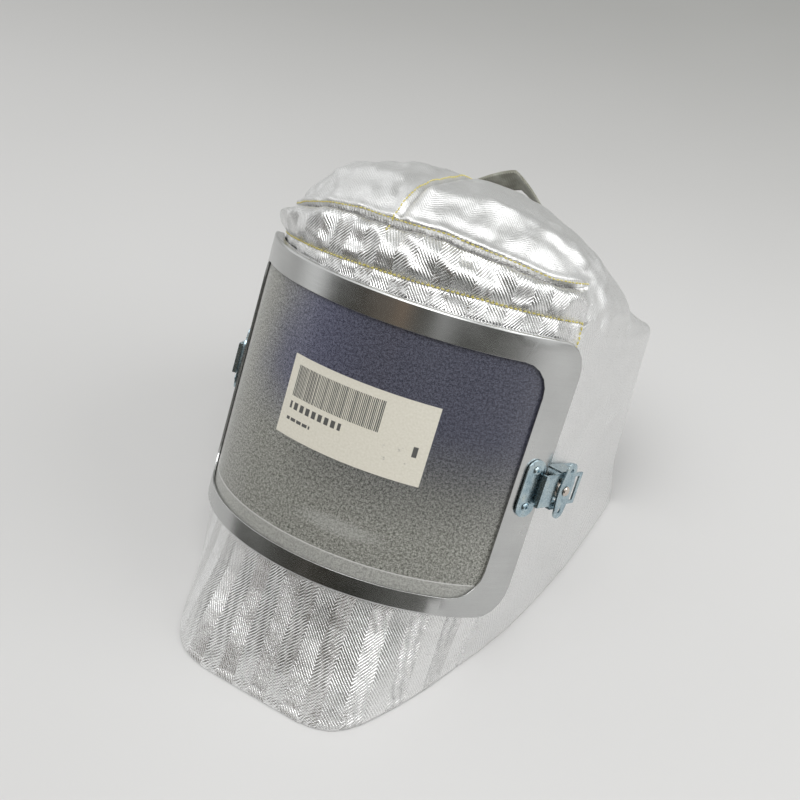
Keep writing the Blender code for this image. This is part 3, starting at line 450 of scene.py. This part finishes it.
def map_cloth(mesh, crown_from=None):
    """UV map named cloth, in metres: round the window's axis and up, or across the crown."""
    count = len(mesh.vertices)
    points = np.empty(count * 3, np.float32)
    mesh.vertices.foreach_get("co", points)
    x, forward, up = hood(points)
    around = np.arctan2(x, forward) * WALL_RADIUS
    wall = np.stack([around, up], axis=1)
    crown = np.stack([x, up - forward], axis=1)
    corners = np.empty(len(mesh.loops), np.int32)
    mesh.loops.foreach_get("vertex_index", corners)
    chosen = wall[corners]
    if crown_from is not None:
        starts = np.empty(len(mesh.polygons), np.int32)
        totals = np.empty(len(mesh.polygons), np.int32)
        mesh.polygons.foreach_get("loop_start", starts)
        mesh.polygons.foreach_get("loop_total", totals)
        face_of = np.repeat(np.arange(len(starts)), totals)
        first = corners[starts]
        on_crown = (up[first] > crown_from(around[first] / WALL_RADIUS))[face_of]
        chosen = np.where(on_crown[:, None], crown[corners], chosen)
    layer = mesh.uv_layers.new(name="cloth")
    layer.data.foreach_set("uv", chosen.astype(np.float32).ravel())


def refined(node, material, body, bevel=0.25, angle=32.0, levels=2):
    """A copy of a CAD node with rounded, smoothly shaded edges, which stands for that node."""
    bm = joined_copy([node])
    bmesh.ops.dissolve_limit(bm, angle_limit=radians(0.4), verts=bm.verts, edges=bm.edges)
    mesh = bpy.data.meshes.new(node + "_shown")
    bm.to_mesh(mesh)
    bm.free()
    mesh.shade_smooth()
    mesh.set_sharp_from_angle(angle=radians(angle))
    map_cloth(mesh)
    made = add_object(node + "_shown", mesh, material, body)
    if bevel:
        rounding = made.modifiers.new("rounding", "BEVEL")
        rounding.width = bevel * MM
        rounding.segments = levels
        rounding.limit_method = "ANGLE"
        rounding.angle_limit = radians(angle)
        rounding.harden_normals = True
        rounding.use_clamp_overlap = True
    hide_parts(node)
    return made


def tree_of(mesh):
    bm = bmesh.new()
    bm.from_mesh(mesh)
    made = BVHTree.FromBMesh(bm)
    bm.free()
    return made


# Hood cloth


def outward_of(x, forward, up):
    """Directions away from the hood's middle: level on the walls, turning up over the crown."""
    over = np.maximum(up - CROWN_START, 0) * 1.7
    flat = np.stack([x, forward, over], axis=1)
    flat /= np.linalg.norm(flat, axis=1)[:, None]
    axes = np.array([RIGHT, FORWARD, UP])
    return flat @ axes


def groove(distance, width):
    return np.exp(-(distance / width) ** 2)


# Folds of the cloth as (degrees, mm up, degrees, mm up, half width mm, height mm).
FRONT_FOLDS = (
    (-44, 266, -24, 276, 6.0, 3.0),
    (-20, 268, 2, 275, 7.0, -2.5),
    (-8, 279, 12, 266, 5.0, 3.0),
    (8, 282, 30, 268, 6.0, 2.6),
    (26, 280, 44, 268, 5.0, -2.2),
    (38, 277, 58, 268, 6.0, 2.4),
    (52, 276, 66, 271, 4.0, 2.0),
    (-58, 262, -46, 268, 5.0, 2.0),
    (-34, 262, -6, 264, 3.5, 1.6),
    (10, 264, 48, 264, 3.5, 1.5),
    (70, 262, 86, 250, 5.0, 1.2),
    (112, 188, 119, 197, 4.0, 1.6),
    (90, 158, 99, 170, 4.0, 1.3),
    (84, 175, 104, 205, 7.0, -1.2),
)
# Folds over the crown as (x, forward from the window's axis, x, forward, half width, height), mm.
CROWN_FOLDS = (
    (-70, 62, -22, 76, 7.0, 2.6),
    (8, 84, 48, 62, 7.0, 2.8),
    (38, 66, 84, 30, 7.0, 2.4),
    (20, 60, 70, 34, 8.0, -2.0),
    (-60, 44, -16, 56, 8.0, -1.6),
    (70, 50, 92, 34, 5.0, 2.0),
    (-90, 20, -60, 52, 7.0, 1.8),
    (30, 20, 70, -20, 12.0, 1.2),
)


# Bulges of the cloth at the left, as (degrees, mm up, half width degrees, half height mm, mm out).
BULGES = (
    (-68, 44, 17, 26, 4.4),
    (-60, 259, 10, 8, 3.0),
)


def fold_ends(tree, fold, over):
    """The two ends of a fold, found on the cloth's outside."""
    found = []
    for a, b in (fold[0:2], fold[2:4]):
        if over:
            start, way = place(a * MM, b * MM, 0.5), -UP
        else:
            out = RIGHT * sin(radians(a)) + FORWARD * cos(radians(a))
            start, way = place(0, 0, b * MM) + out * 0.3, -out
        hit = tree.ray_cast(start, way)[0]
        found.append(hit if hit is not None else start + way * 0.3)
    return np.array(found[0]), np.array(found[1])


def distance_to_segment(points, start, end):
    along = end - start
    t = np.clip((points - start) @ along / (along @ along), 0, 1)
    return np.linalg.norm(points - start - t[:, None] * along, axis=1)


def noise_of(points, scale, octaves, seed):
    shift = Vector((seed, seed * 0.7, seed * 1.3))
    return np.array([
        noise.fractal(Vector(p) * scale + shift, 0.9, 2.0, octaves) for p in points
    ])


def dome_solid(tree):
    """A closed copy of the cloth above the window, to blow up as one bag."""
    columns, rows = 96, 26
    lowest, climb = 4, 84
    outside = 0.3
    nearest, if_missed = 0.03, 0.075
    middle = place(*CROWN_MIDDLE)
    bm = bmesh.new()
    rings = []
    for row in range(rows):
        lift = radians(lowest + climb * row / (rows - 1))
        ring = []
        for column in range(columns):
            turn = 2 * pi * column / columns
            level = RIGHT * sin(turn) + FORWARD * cos(turn)
            way = level * cos(lift) + UP * sin(lift)
            hit = tree.ray_cast(middle + way * outside, -way)[0]
            missed = hit is None or (hit - middle).dot(way) < nearest
            ring.append(bm.verts.new(middle + way * if_missed if missed else hit))
        rings.append(ring)
    for lower, upper in zip(rings, rings[1:]):
        for column in range(columns):
            after = (column + 1) % columns
            bm.faces.new((lower[column], lower[after], upper[after], upper[column]))
    bm.faces.new(list(reversed(rings[0])))
    bm.faces.new(rings[-1])
    bmesh.ops.recalc_face_normals(bm, faces=bm.faces)
    mesh = bpy.data.meshes.new("cloth_bag")
    bm.to_mesh(mesh)
    bm.free()
    return mesh


def pins_of(points):
    """Which points of the bag the seams, the wall below and the rear edge hold still."""
    x, forward, up = hood(points)
    angle = np.arctan2(x, forward)
    reach = 3.2 * MM
    seams_end, rear_edge, ridge_start = 72, -0.085, 0.29
    low, high = seam_height(LOWER_SEAM, angle), seam_height(PLEAT, angle)
    front = np.abs(np.degrees(angle)) < seams_end
    held = (up < SIM_BASE) | (forward < rear_edge)
    held |= front & (np.abs(up - low) < reach)
    held |= front & (np.abs(up - high) < reach)
    held |= (up > ridge_start) & (np.abs(x - RIDGE_X) < reach * 0.7)
    return held


def blown_out(tree):
    """Cloth simulation of the forehead and crown: the bag before, and each point's movement."""
    mesh = dome_solid(tree)
    bag = bpy.data.objects.new("cloth_bag", mesh)
    bpy.context.scene.collection.objects.link(bag)
    remesh = bag.modifiers.new("remesh", "REMESH")
    remesh.mode = "VOXEL"
    remesh.voxel_size = SIM_VOXEL
    even = evaluated_mesh(bag)
    bag.modifiers.clear()
    bag.data = even
    count = len(even.vertices)
    before = np.empty(count * 3, np.float32)
    even.vertices.foreach_get("co", before)
    before = before.reshape(-1, 3).astype(float)
    pinned = bag.vertex_groups.new(name="pinned")
    pinned.add([int(i) for i in np.flatnonzero(pins_of(before))], 1.0, "ADD")
    cloth = bag.modifiers.new("cloth", "CLOTH")
    settings = cloth.settings
    settings.quality = 6
    settings.mass = 0.25
    settings.tension_stiffness = 12
    settings.compression_stiffness = 12
    settings.shear_stiffness = 6
    settings.bending_stiffness = 0.25
    settings.air_damping = 2.0
    settings.use_pressure = True
    settings.uniform_pressure_force = SIM_PRESSURE
    settings.shrink_min = -SIM_GROWTH
    settings.vertex_group_mass = "pinned"
    settings.effector_weights.gravity = 0
    cloth.point_cache.frame_start = 1
    cloth.point_cache.frame_end = SIM_FRAMES
    for step in range(1, SIM_FRAMES + 1):
        bpy.context.scene.frame_set(step)
    settled = evaluated_mesh(bag)
    after = np.empty(count * 3, np.float32)
    settled.vertices.foreach_get("co", after)
    moved = after.reshape(-1, 3).astype(float) - before
    bpy.context.scene.frame_set(1)
    bpy.data.objects.remove(bag)
    out = outward_of(*hood(before))
    along = np.sum(moved * out, axis=1)
    moved += out * (np.clip(along, -SIM_IN, SIM_OUT) - along)[:, None]
    sideways = moved - out * np.sum(moved * out, axis=1)[:, None]
    size = np.linalg.norm(sideways, axis=1)[:, None]
    moved -= sideways * np.maximum(1 - SIM_IN / np.maximum(size, 1e-9), 0)
    return even, before, moved


def simulated_movement(points, edges, tree):
    """The bag's movement, carried over to each point of the cloth."""
    even, before, moved = blown_out(tree)
    corners = [tuple(face.vertices) for face in even.polygons]
    near_bag = BVHTree.FromPolygons([Vector(p) for p in before], corners)
    carried = np.zeros_like(points)
    _, _, up = hood(points)
    for index in np.flatnonzero(up > SIM_BASE - 2 * MM):
        spot, _, face, _ = near_bag.find_nearest(Vector(points[index]))
        ring = corners[face]
        weights = poly_3d_calc([Vector(before[i]) for i in ring], spot)
        carried[index] = sum(w * moved[i] for w, i in zip(weights, ring))
    return smoothed(carried, edges, 10)


def forehead_rise(angle, turn, up):
    """The forehead, puffed between its seams, and the crown's edge tucked in at the pleat."""
    puff, tuck, lip, dimple = 3.2 * MM, 4.6 * MM, 1.9 * MM, 0.9 * MM
    low, high = seam_height(LOWER_SEAM, angle), seam_height(PLEAT, angle)
    share = np.clip((up - low) / (high - low), 0, 1)
    ends = smooth_step(PLEAT_RIGHT + 4, PLEAT_RIGHT - 6, turn) * smooth_step(-74, -62, turn)
    rise = puff * np.sin(pi * share) ** 0.7 * ends
    front = smooth_step(-80, -70, turn) * smooth_step(PLEAT_RIGHT + 3, PLEAT_RIGHT - 1, turn)
    near_pleat = up - high
    rise -= tuck * groove(near_pleat, 1.3 * MM) * front
    rise += lip * groove(near_pleat - 3.2 * MM, 2.2 * MM) * front
    seam_front = smooth_step(-70, -66, turn) * smooth_step(SEAM_RIGHT + 2, SEAM_RIGHT, turn)
    return rise - dimple * groove(up - low, 1.6 * MM) * seam_front


def drop_rise(turn, up):
    """The groove of the seam that drops from the forehead's right end."""
    depth, width = 0.8 * MM, 1.5 * MM
    sideways = (turn - SEAM_RIGHT) * WALL_RADIUS * pi / 180
    beside_seam = smooth_step(0.236, 0.243, up) * smooth_step(0.263, 0.26, up)
    return -depth * groove(sideways, width) * beside_seam


def ridge_rise(x, forward, up):
    """The crown's ridge seam: a groove with a lip along each side."""
    depth, width, lip, lip_width, lip_aside = 1.1 * MM, 1.3 * MM, 0.9 * MM, 2.6 * MM, 5 * MM
    on_crown = smooth_step(0.289, 0.292, up) * smooth_step(-0.075, -0.045, forward)
    aside = x - RIDGE_X
    lips = groove(aside + lip_aside, lip_width) + groove(aside - lip_aside, lip_width)
    return (lip * lips - depth * groove(aside, width)) * on_crown


def folds_rise(points, tree):
    rise = np.zeros(len(points))
    for folds, over in ((FRONT_FOLDS, False), (CROWN_FOLDS, True)):
        for fold in folds:
            start, end = fold_ends(tree, fold, over)
            width, height = fold[4] * MM, fold[5] * MM
            rise += height * groove(distance_to_segment(points, start, end), width)
    return rise


def bulges_rise(turn, up):
    rise = np.zeros(len(up))
    for middle, height, half_turn, half_height, out in BULGES:
        sideways = groove(turn - middle, half_turn)
        rise += out * MM * sideways * groove(up - height * MM, half_height * MM)
    return rise


def uneven_rise(points, x, forward, up):
    """Unevenness of soft cloth, stronger above the frame, with slanted folds over the front."""
    soft = smooth_step(0.244, 0.262, up)
    rise = (0.5 + 0.5 * soft) * MM * noise_of(points, 22.0, 2, 4.0)
    rise += (0.12 + 0.22 * soft) * MM * noise_of(points, 80.0, 2, 9.0)
    folded = smooth_step(0.262, 0.270, up) * smooth_step(-0.04, 0.0, forward)
    slanted = np.stack([x * 0.9 + up * 1.1, forward * 0.5, up * 0.35 - x * 0.4], axis=1)
    return rise + 1.5 * MM * folded * noise_of(slanted, 62.0, 2, 21.0)


def clear_of_frame(angle, up):
    """From 0 under the window frame, where the cloth lies flat, to 1 away from it."""
    over_side = smooth_step(FRAME_HALF, FRAME_HALF + 0.10, np.abs(angle))
    over_top = smooth_step(FRAME_HIGH, FRAME_HIGH + 6 * MM, up)
    under = smooth_step(FRAME_LOW, FRAME_LOW - 10 * MM, up)
    return np.maximum(over_side, np.maximum(over_top, under))


def cloth_rise(points, tree):
    """How far each point of the cloth stands out from the CAD surface, in metres."""
    x, forward, up = hood(points)
    angle = np.arctan2(x, forward)
    turn = np.degrees(angle)
    rise = forehead_rise(angle, turn, up) + drop_rise(turn, up) + ridge_rise(x, forward, up)
    rise += folds_rise(points, tree) + bulges_rise(turn, up) + uneven_rise(points, x, forward, up)
    above_hem = smooth_step(0.0, 0.012, points[:, 2])
    return rise * clear_of_frame(angle, up) * above_hem


def smoothed(points, edges, rounds):
    count = len(points)
    degree = np.bincount(edges.ravel(), minlength=count)[:, None]
    for _ in range(rounds):
        total = np.zeros_like(points)
        for axis in range(3):
            column = points[:, axis]
            total[:, axis] = (np.bincount(edges[:, 0], column[edges[:, 1]], count)
                              + np.bincount(edges[:, 1], column[edges[:, 0]], count))
        points = 0.5 * points + 0.5 * total / degree
    return points


def crease_of(points):
    """Painted shade where the cloth is tucked in, from 0 to 1: the pleat, and faintly the seams."""
    x, forward, up = hood(points)
    angle = np.arctan2(x, forward)
    turn = np.degrees(angle)
    front = smooth_step(-70, -56, turn) * smooth_step(PLEAT_RIGHT + 2, PLEAT_RIGHT - 4, turn)
    pleat = groove(up - seam_height(PLEAT, angle) + 0.3 * MM, 1.1 * MM) * front
    lower = groove(up - seam_height(LOWER_SEAM, angle), 0.9 * MM) * front
    ridge = groove(x - RIDGE_X, 1.0 * MM) * (up > 0.289) * smooth_step(-0.06, 0.0, forward)
    return np.maximum(pleat, np.maximum(0.25 * lower, 0.3 * ridge))


def ribbed_of(points):
    """How plainly the woven ribs show: on the bib and forehead, hardly on the crown and sides."""
    x, forward, up = hood(points)
    angle = np.arctan2(x, forward)
    over = smooth_step(-1 * MM, 3 * MM, up - seam_height(PLEAT, angle))
    side = smooth_step(radians(50), radians(75), np.abs(angle))
    return np.clip(1 - 0.72 * over - 0.62 * side * (1 - over), 0, 1)


def store(mesh, name, values):
    mesh.attributes.new(name, "FLOAT", "POINT").data.foreach_set("value", values.astype(np.float32))


def hood_cloth(material):
    """The whole cloth as one skin: the panels fused, then puffed, pleated and creased, with painted
    shade for the pleat and seams stored on it.
    """
    bm = joined_copy(CLOTH_NODES)
    mesh = bpy.data.meshes.new("cloth_base")
    bm.to_mesh(mesh)
    bm.free()
    base = bpy.data.objects.new("cloth_base", mesh)
    bpy.context.scene.collection.objects.link(base)
    remesh = base.modifiers.new("remesh", "REMESH")
    remesh.mode = "VOXEL"
    remesh.voxel_size = VOXEL
    skin = evaluated_mesh(base)
    bpy.data.objects.remove(base)
    skin.name = "hood_cloth"
    count = len(skin.vertices)
    points = np.empty(count * 3, np.float32)
    skin.vertices.foreach_get("co", points)
    points = points.reshape(-1, 3).astype(float)
    edges = np.empty(len(skin.edges) * 2, np.int32)
    skin.edges.foreach_get("vertices", edges)
    edges = edges.reshape(-1, 2)
    points = smoothed(points, edges, 10)
    skin.vertices.foreach_set("co", points.astype(np.float32).ravel())
    tree = tree_of(skin)
    flat = points.copy()
    rise = outward_of(*hood(points)) * cloth_rise(points, tree)[:, None]
    points += simulated_movement(points, edges, tree)
    points += rise
    points[:, 2] = np.maximum(points[:, 2], 0)
    skin.vertices.foreach_set("co", points.astype(np.float32).ravel())
    skin.update()
    skin.shade_smooth()
    map_cloth(skin, crown_from=lambda angle: seam_height(PLEAT, angle))
    store(skin, "crease_shade", crease_of(flat))
    store(skin, "ribbed", ribbed_of(flat))
    made = add_object("hood_cloth", skin, material)
    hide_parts(*CLOTH_NODES)
    return made


# Stitching


def surface_path(tree, places, over=False):
    """Points on the cloth's outside below these (degrees, mm up) or (x, forward) places."""
    found = []
    for a, b in places:
        start, _ = fold_ends(tree, (a, b, a, b), over)
        found.append(Vector(start))
    return found


def spaced(path, step):
    """Points a step apart along a path, with the direction of travel at each."""
    lengths = np.cumsum([0.0] + [(b - a).length for a, b in zip(path, path[1:])])
    coordinates = np.array([list(p) for p in path])
    for at in np.arange(step / 2, lengths[-1], step):
        spot = Vector([np.interp(at, lengths, coordinates[:, axis]) for axis in range(3)])
        ahead = Vector([np.interp(at + step / 2, lengths, coordinates[:, i]) for i in range(3)])
        behind = Vector([np.interp(at - step / 2, lengths, coordinates[:, i]) for i in range(3)])
        yield spot, (ahead - behind).normalized()


def stitches(name, path, tree, material, step=3.0 * MM, length=2.5 * MM, thick=0.56 * MM):
    """A run of separate thread stitches, each a small capsule bedded in the cloth."""
    bm = bmesh.new()
    for number, (spot, along) in enumerate(spaced(path, step)):
        near, normal, _, _ = tree.find_nearest(spot)
        out = Vector(outward_of(*hood(near))[0])
        normal = normal if normal.dot(out) > 0 else -normal
        slant = 0.16 * sin(number * 2.4)
        along = (along - normal * along.dot(normal)).normalized()
        side = normal.cross(along)
        along = (along + side * slant).normalized()
        side = normal.cross(along)
        turn = Matrix((along, side, normal)).transposed().to_4x4()
        size = Matrix.Diagonal((length / 2, thick, thick * 0.8, 1))
        matrix = Matrix.Translation(near + normal * thick * 0.35) @ turn @ size
        bmesh.ops.create_uvsphere(bm, u_segments=8, v_segments=6, radius=1, matrix=matrix)
    mesh = bpy.data.meshes.new(name)
    bm.to_mesh(mesh)
    bm.free()
    mesh.shade_smooth()
    return add_object(name, mesh, material)


def seam_places(seam, low, high, offset=0.0, count=60):
    turns = np.linspace(low, high, count)
    heights = seam_height(seam, np.radians(turns)) / MM + offset
    return list(zip(turns, heights))


def hood_stitching(cloth, material):
    tree = tree_of(cloth.data)
    lower = seam_places(LOWER_SEAM, -64, SEAM_RIGHT)
    lower += [(SEAM_RIGHT, u) for u in np.arange(258, SEAM_DROP, -3)]
    stitches("stitching_forehead", surface_path(tree, lower), tree, material)
    upper = seam_places(PLEAT, -60, 70, offset=2.6)
    stitches("stitching_pleat", surface_path(tree, upper), tree, material, thick=0.50 * MM)
    ridge = [(-2.4, f) for f in np.linspace(113, -44, 60)]
    stitches("stitching_crown", surface_path(tree, ridge, over=True), tree, material, thick=0.50 * MM)


# Scene


WORLD_COLOUR = (0.93, 0.935, 0.93, 1)
BACKDROP_COLOUR = (0.50, 0.50, 0.49, 1)
# Patches of the world as (direction, inner and outer half angle in degrees, colour). A later one
# covers those before it.
WORLD_PATCHES = (
    ((0.0, 0.70, 0.72), 18, 55, (0.42, 0.425, 0.41)),
    ((0.15, -0.80, 0.58), 12, 25, (0.17, 0.165, 0.15)),
    ((-0.20, -0.20, 0.96), 8, 25, (1.90, 1.90, 1.90)),
    ((-0.30, -0.80, 0.52), 13, 24, (0.09, 0.07, 0.055)),
    ((-0.25, -0.90, 0.34), 10, 22, (0.17, 0.145, 0.12)),
    ((0.91, -0.40, 0.10), 13, 25, (0.13, 0.13, 0.12)),
    ((0.60, -0.80, 0.02), 13, 23, (0.045, 0.045, 0.038)),
    ((0.12, -0.985, 0.02), 15, 25, (0.030, 0.030, 0.024)),
    ((-0.55, -0.83, 0.02), 15, 26, (0.030, 0.030, 0.024)),
    ((0.0, -0.93, 0.37), 2, 6, (0.42, 0.30, 0.21)),
)


def studio_world():
    """Surroundings for the metal to reflect: pale all round, brighter above and dim in front."""
    world = bpy.data.worlds.new("studio")
    world.use_nodes = True
    bpy.context.scene.world = world
    tree = world.node_tree
    direction = tree.nodes.new("ShaderNodeTexCoord").outputs["Generated"]
    colour = None
    for way, inner, outer, shade in WORLD_PATCHES:
        dot = tree.nodes.new("ShaderNodeVectorMath")
        dot.operation = "DOT_PRODUCT"
        tree.links.new(direction, dot.inputs[0])
        dot.inputs[1].default_value = Vector(way).normalized()
        span = tree.nodes.new("ShaderNodeMapRange")
        span.interpolation_type = "SMOOTHSTEP"
        tree.links.new(dot.outputs["Value"], span.inputs[0])
        span.inputs[1].default_value = cos(radians(outer))
        span.inputs[2].default_value = cos(radians(inner))
        mix = tree.nodes.new("ShaderNodeMix")
        mix.data_type = "RGBA"
        before, after = [socket for socket in mix.inputs if socket.type == "RGBA"]
        tree.links.new(span.outputs[0], mix.inputs[0])
        before.default_value = WORLD_COLOUR
        after.default_value = (*shade, 1)
        if colour:
            tree.links.new(colour, before)
        colour = mix.outputs[2]
    # The camera itself sees one plain tone in place of the patches.
    plain = tree.nodes.new("ShaderNodeMix")
    plain.data_type = "RGBA"
    unseen, seen = [socket for socket in plain.inputs if socket.type == "RGBA"]
    tree.links.new(tree.nodes.new("ShaderNodeLightPath").outputs["Is Camera Ray"], plain.inputs[0])
    tree.links.new(colour, unseen)
    seen.default_value = BACKDROP_COLOUR
    tree.links.new(plain.outputs[2], tree.nodes["Background"].inputs[0])


def area_light(name, spot, target, size, power):
    light = bpy.data.lights.new(name, "AREA")
    light.shape = "DISK"
    light.size = size
    light.energy = power
    made = bpy.data.objects.new(name, light)
    made.location = spot
    made.rotation_euler = (Vector(target) - Vector(spot)).to_track_quat("-Z", "Y").to_euler()
    bpy.context.scene.collection.objects.link(made)


def pale_floor():
    bpy.ops.mesh.primitive_plane_add(size=FLOOR_SIZE)
    floor = bpy.context.object
    floor.name = "floor"
    made = Shader("floor", Roughness=0.9, Specular_IOR_Level=0.0)
    tone = made.noise(made.object_point(), 2.0, 3.0)
    _, back, _ = made.split(made.object_point())
    # The floor's colour darkens toward the back: painted fall-off of the light.
    shade = made.mix(made.span(back, 0.05, 1.1), (0.64, 0.636, 0.632), (0.37, 0.37, 0.36))
    made.set("Base Color", made.mix(made.grey(tone, (0.3, 0.0), (0.7, 0.06)), shade, (0.9, 0.9, 0.9)))
    floor.data.materials.append(made.material)


def dark_flag():
    """A dim sheet on the floor in front, which only reflections show."""
    bpy.ops.mesh.primitive_plane_add(size=1)
    flag = bpy.context.object
    flag.name = "dark_flag"
    flag.location = FLAG_SPOT
    flag.scale = FLAG_SCALE
    dim = Shader("dark_flag", Roughness=0.9)
    dim.set("Base Color", dim.ramp(dim.noise(dim.object_point(), 3.0, 2.0),
                                   (0.3, (0.030, 0.030, 0.023)), (0.7, (0.050, 0.050, 0.040))))
    flag.data.materials.append(dim.material)
    flag.visible_camera = flag.visible_diffuse = flag.visible_shadow = False


def studio():
    """Two soft lights, the surroundings, the floor, and the flag that reflections show."""
    bpy.context.scene.view_settings.view_transform = "Standard"
    studio_world()
    for light in LIGHTS:
        area_light(*light)
    pale_floor()
    dark_flag()


def camera():
    data = bpy.data.cameras.new("camera")
    data.lens = CAMERA_LENS
    data.sensor_width = SENSOR_WIDTH
    made = bpy.data.objects.new("camera", data)
    made.location = CAMERA_SPOT
    made.rotation_euler = (pi / 2 - CAMERA_PITCH, 0, CAMERA_YAW)
    bpy.context.scene.collection.objects.link(made)
    bpy.context.scene.camera = made


def main():
    camera()
    studio()
    zinc = zinc_plate()
    nickel = satin_metal("nickel", (0.80, 0.74, 0.68), (0.50, 0.42, 0.36), 0.20)
    aluminium = window_frame_metal()
    plastic = moulded_plastic("black_plastic", (0.018, 0.018, 0.02), (0.045, 0.045, 0.05), 0.42)
    knob = moulded_plastic("knob_plastic", (0.05, 0.05, 0.055), (0.10, 0.10, 0.11), 0.5)
    rubber = moulded_plastic("black_rubber", (0.012, 0.012, 0.012), (0.03, 0.03, 0.03), 0.6)
    webbing = webbing_cloth()
    foam = foam_cloth()
    x, forward, ups = hood([v.co for v in NODES["label"].data.vertices])
    turns = [atan2(a, b) for a, b in zip(x, forward)]
    left, right = min(turns) * WALL_RADIUS, max(turns) * WALL_RADIUS
    paper = label_paper(left, max(ups), right - left, max(ups) - min(ups))
    window = speckled_window(OPENING_LOW)
    for node in ("front_frame", "rear_frame"):
        refined(node, aluminium, "hood", bevel=0.45)
    refined("lens", window, "hood", bevel=0)
    refined("lens_gasket", rubber, "hood", bevel=0)
    refined("label", paper, "hood", bevel=0)
    refined("back_loop", webbing, "hood", bevel=0.4, angle=50)
    for hand in HANDS:
        refined(f"keeper_{hand}", zinc, "hood")
        refined(f"latch_base_{hand}", zinc, "hood")
        refined(f"latch_hook_{hand}", zinc, f"{hand}_hook")
        refined(f"latch_wing_{hand}", zinc, f"{hand}_wing")
        refined(f"latch_hub_{hand}", nickel, f"{hand}_wing", bevel=0.3)
        refined(f"latch_pivot_{hand}", nickel, "hood")
        refined(f"hanger_{hand}", aluminium, "hood")
        refined(f"hanger_bolt_{hand}", nickel, "hood")
        refined(f"band_end_{hand}", plastic, f"{hand}_band_end", bevel=0.15)
        for level in ("upper", "lower"):
            refined(f"keeper_rivet_{hand}_{level}", zinc, "hood", bevel=0.1)
            refined(f"latch_rivet_{hand}_{level}", zinc, "hood", bevel=0.1)
            refined(f"hanger_rivet_{hand}_{level}", aluminium, "hood", bevel=0.1)
    refined("headband", plastic, "headgear", bevel=0.4)
    refined("crown_strap", webbing, "headgear", bevel=0.4)
    refined("sweatband", foam, "headgear", bevel=1.2, levels=4)
    refined("ratchet_housing", plastic, "headgear", bevel=0)
    refined("ratchet_knob", knob, "knob", bevel=0.5)
    refined("ratchet_pinion", knob, "knob", bevel=0)
    cloth = hood_cloth(aluminised_cloth())
    hood_stitching(cloth, yellow_thread())


main()
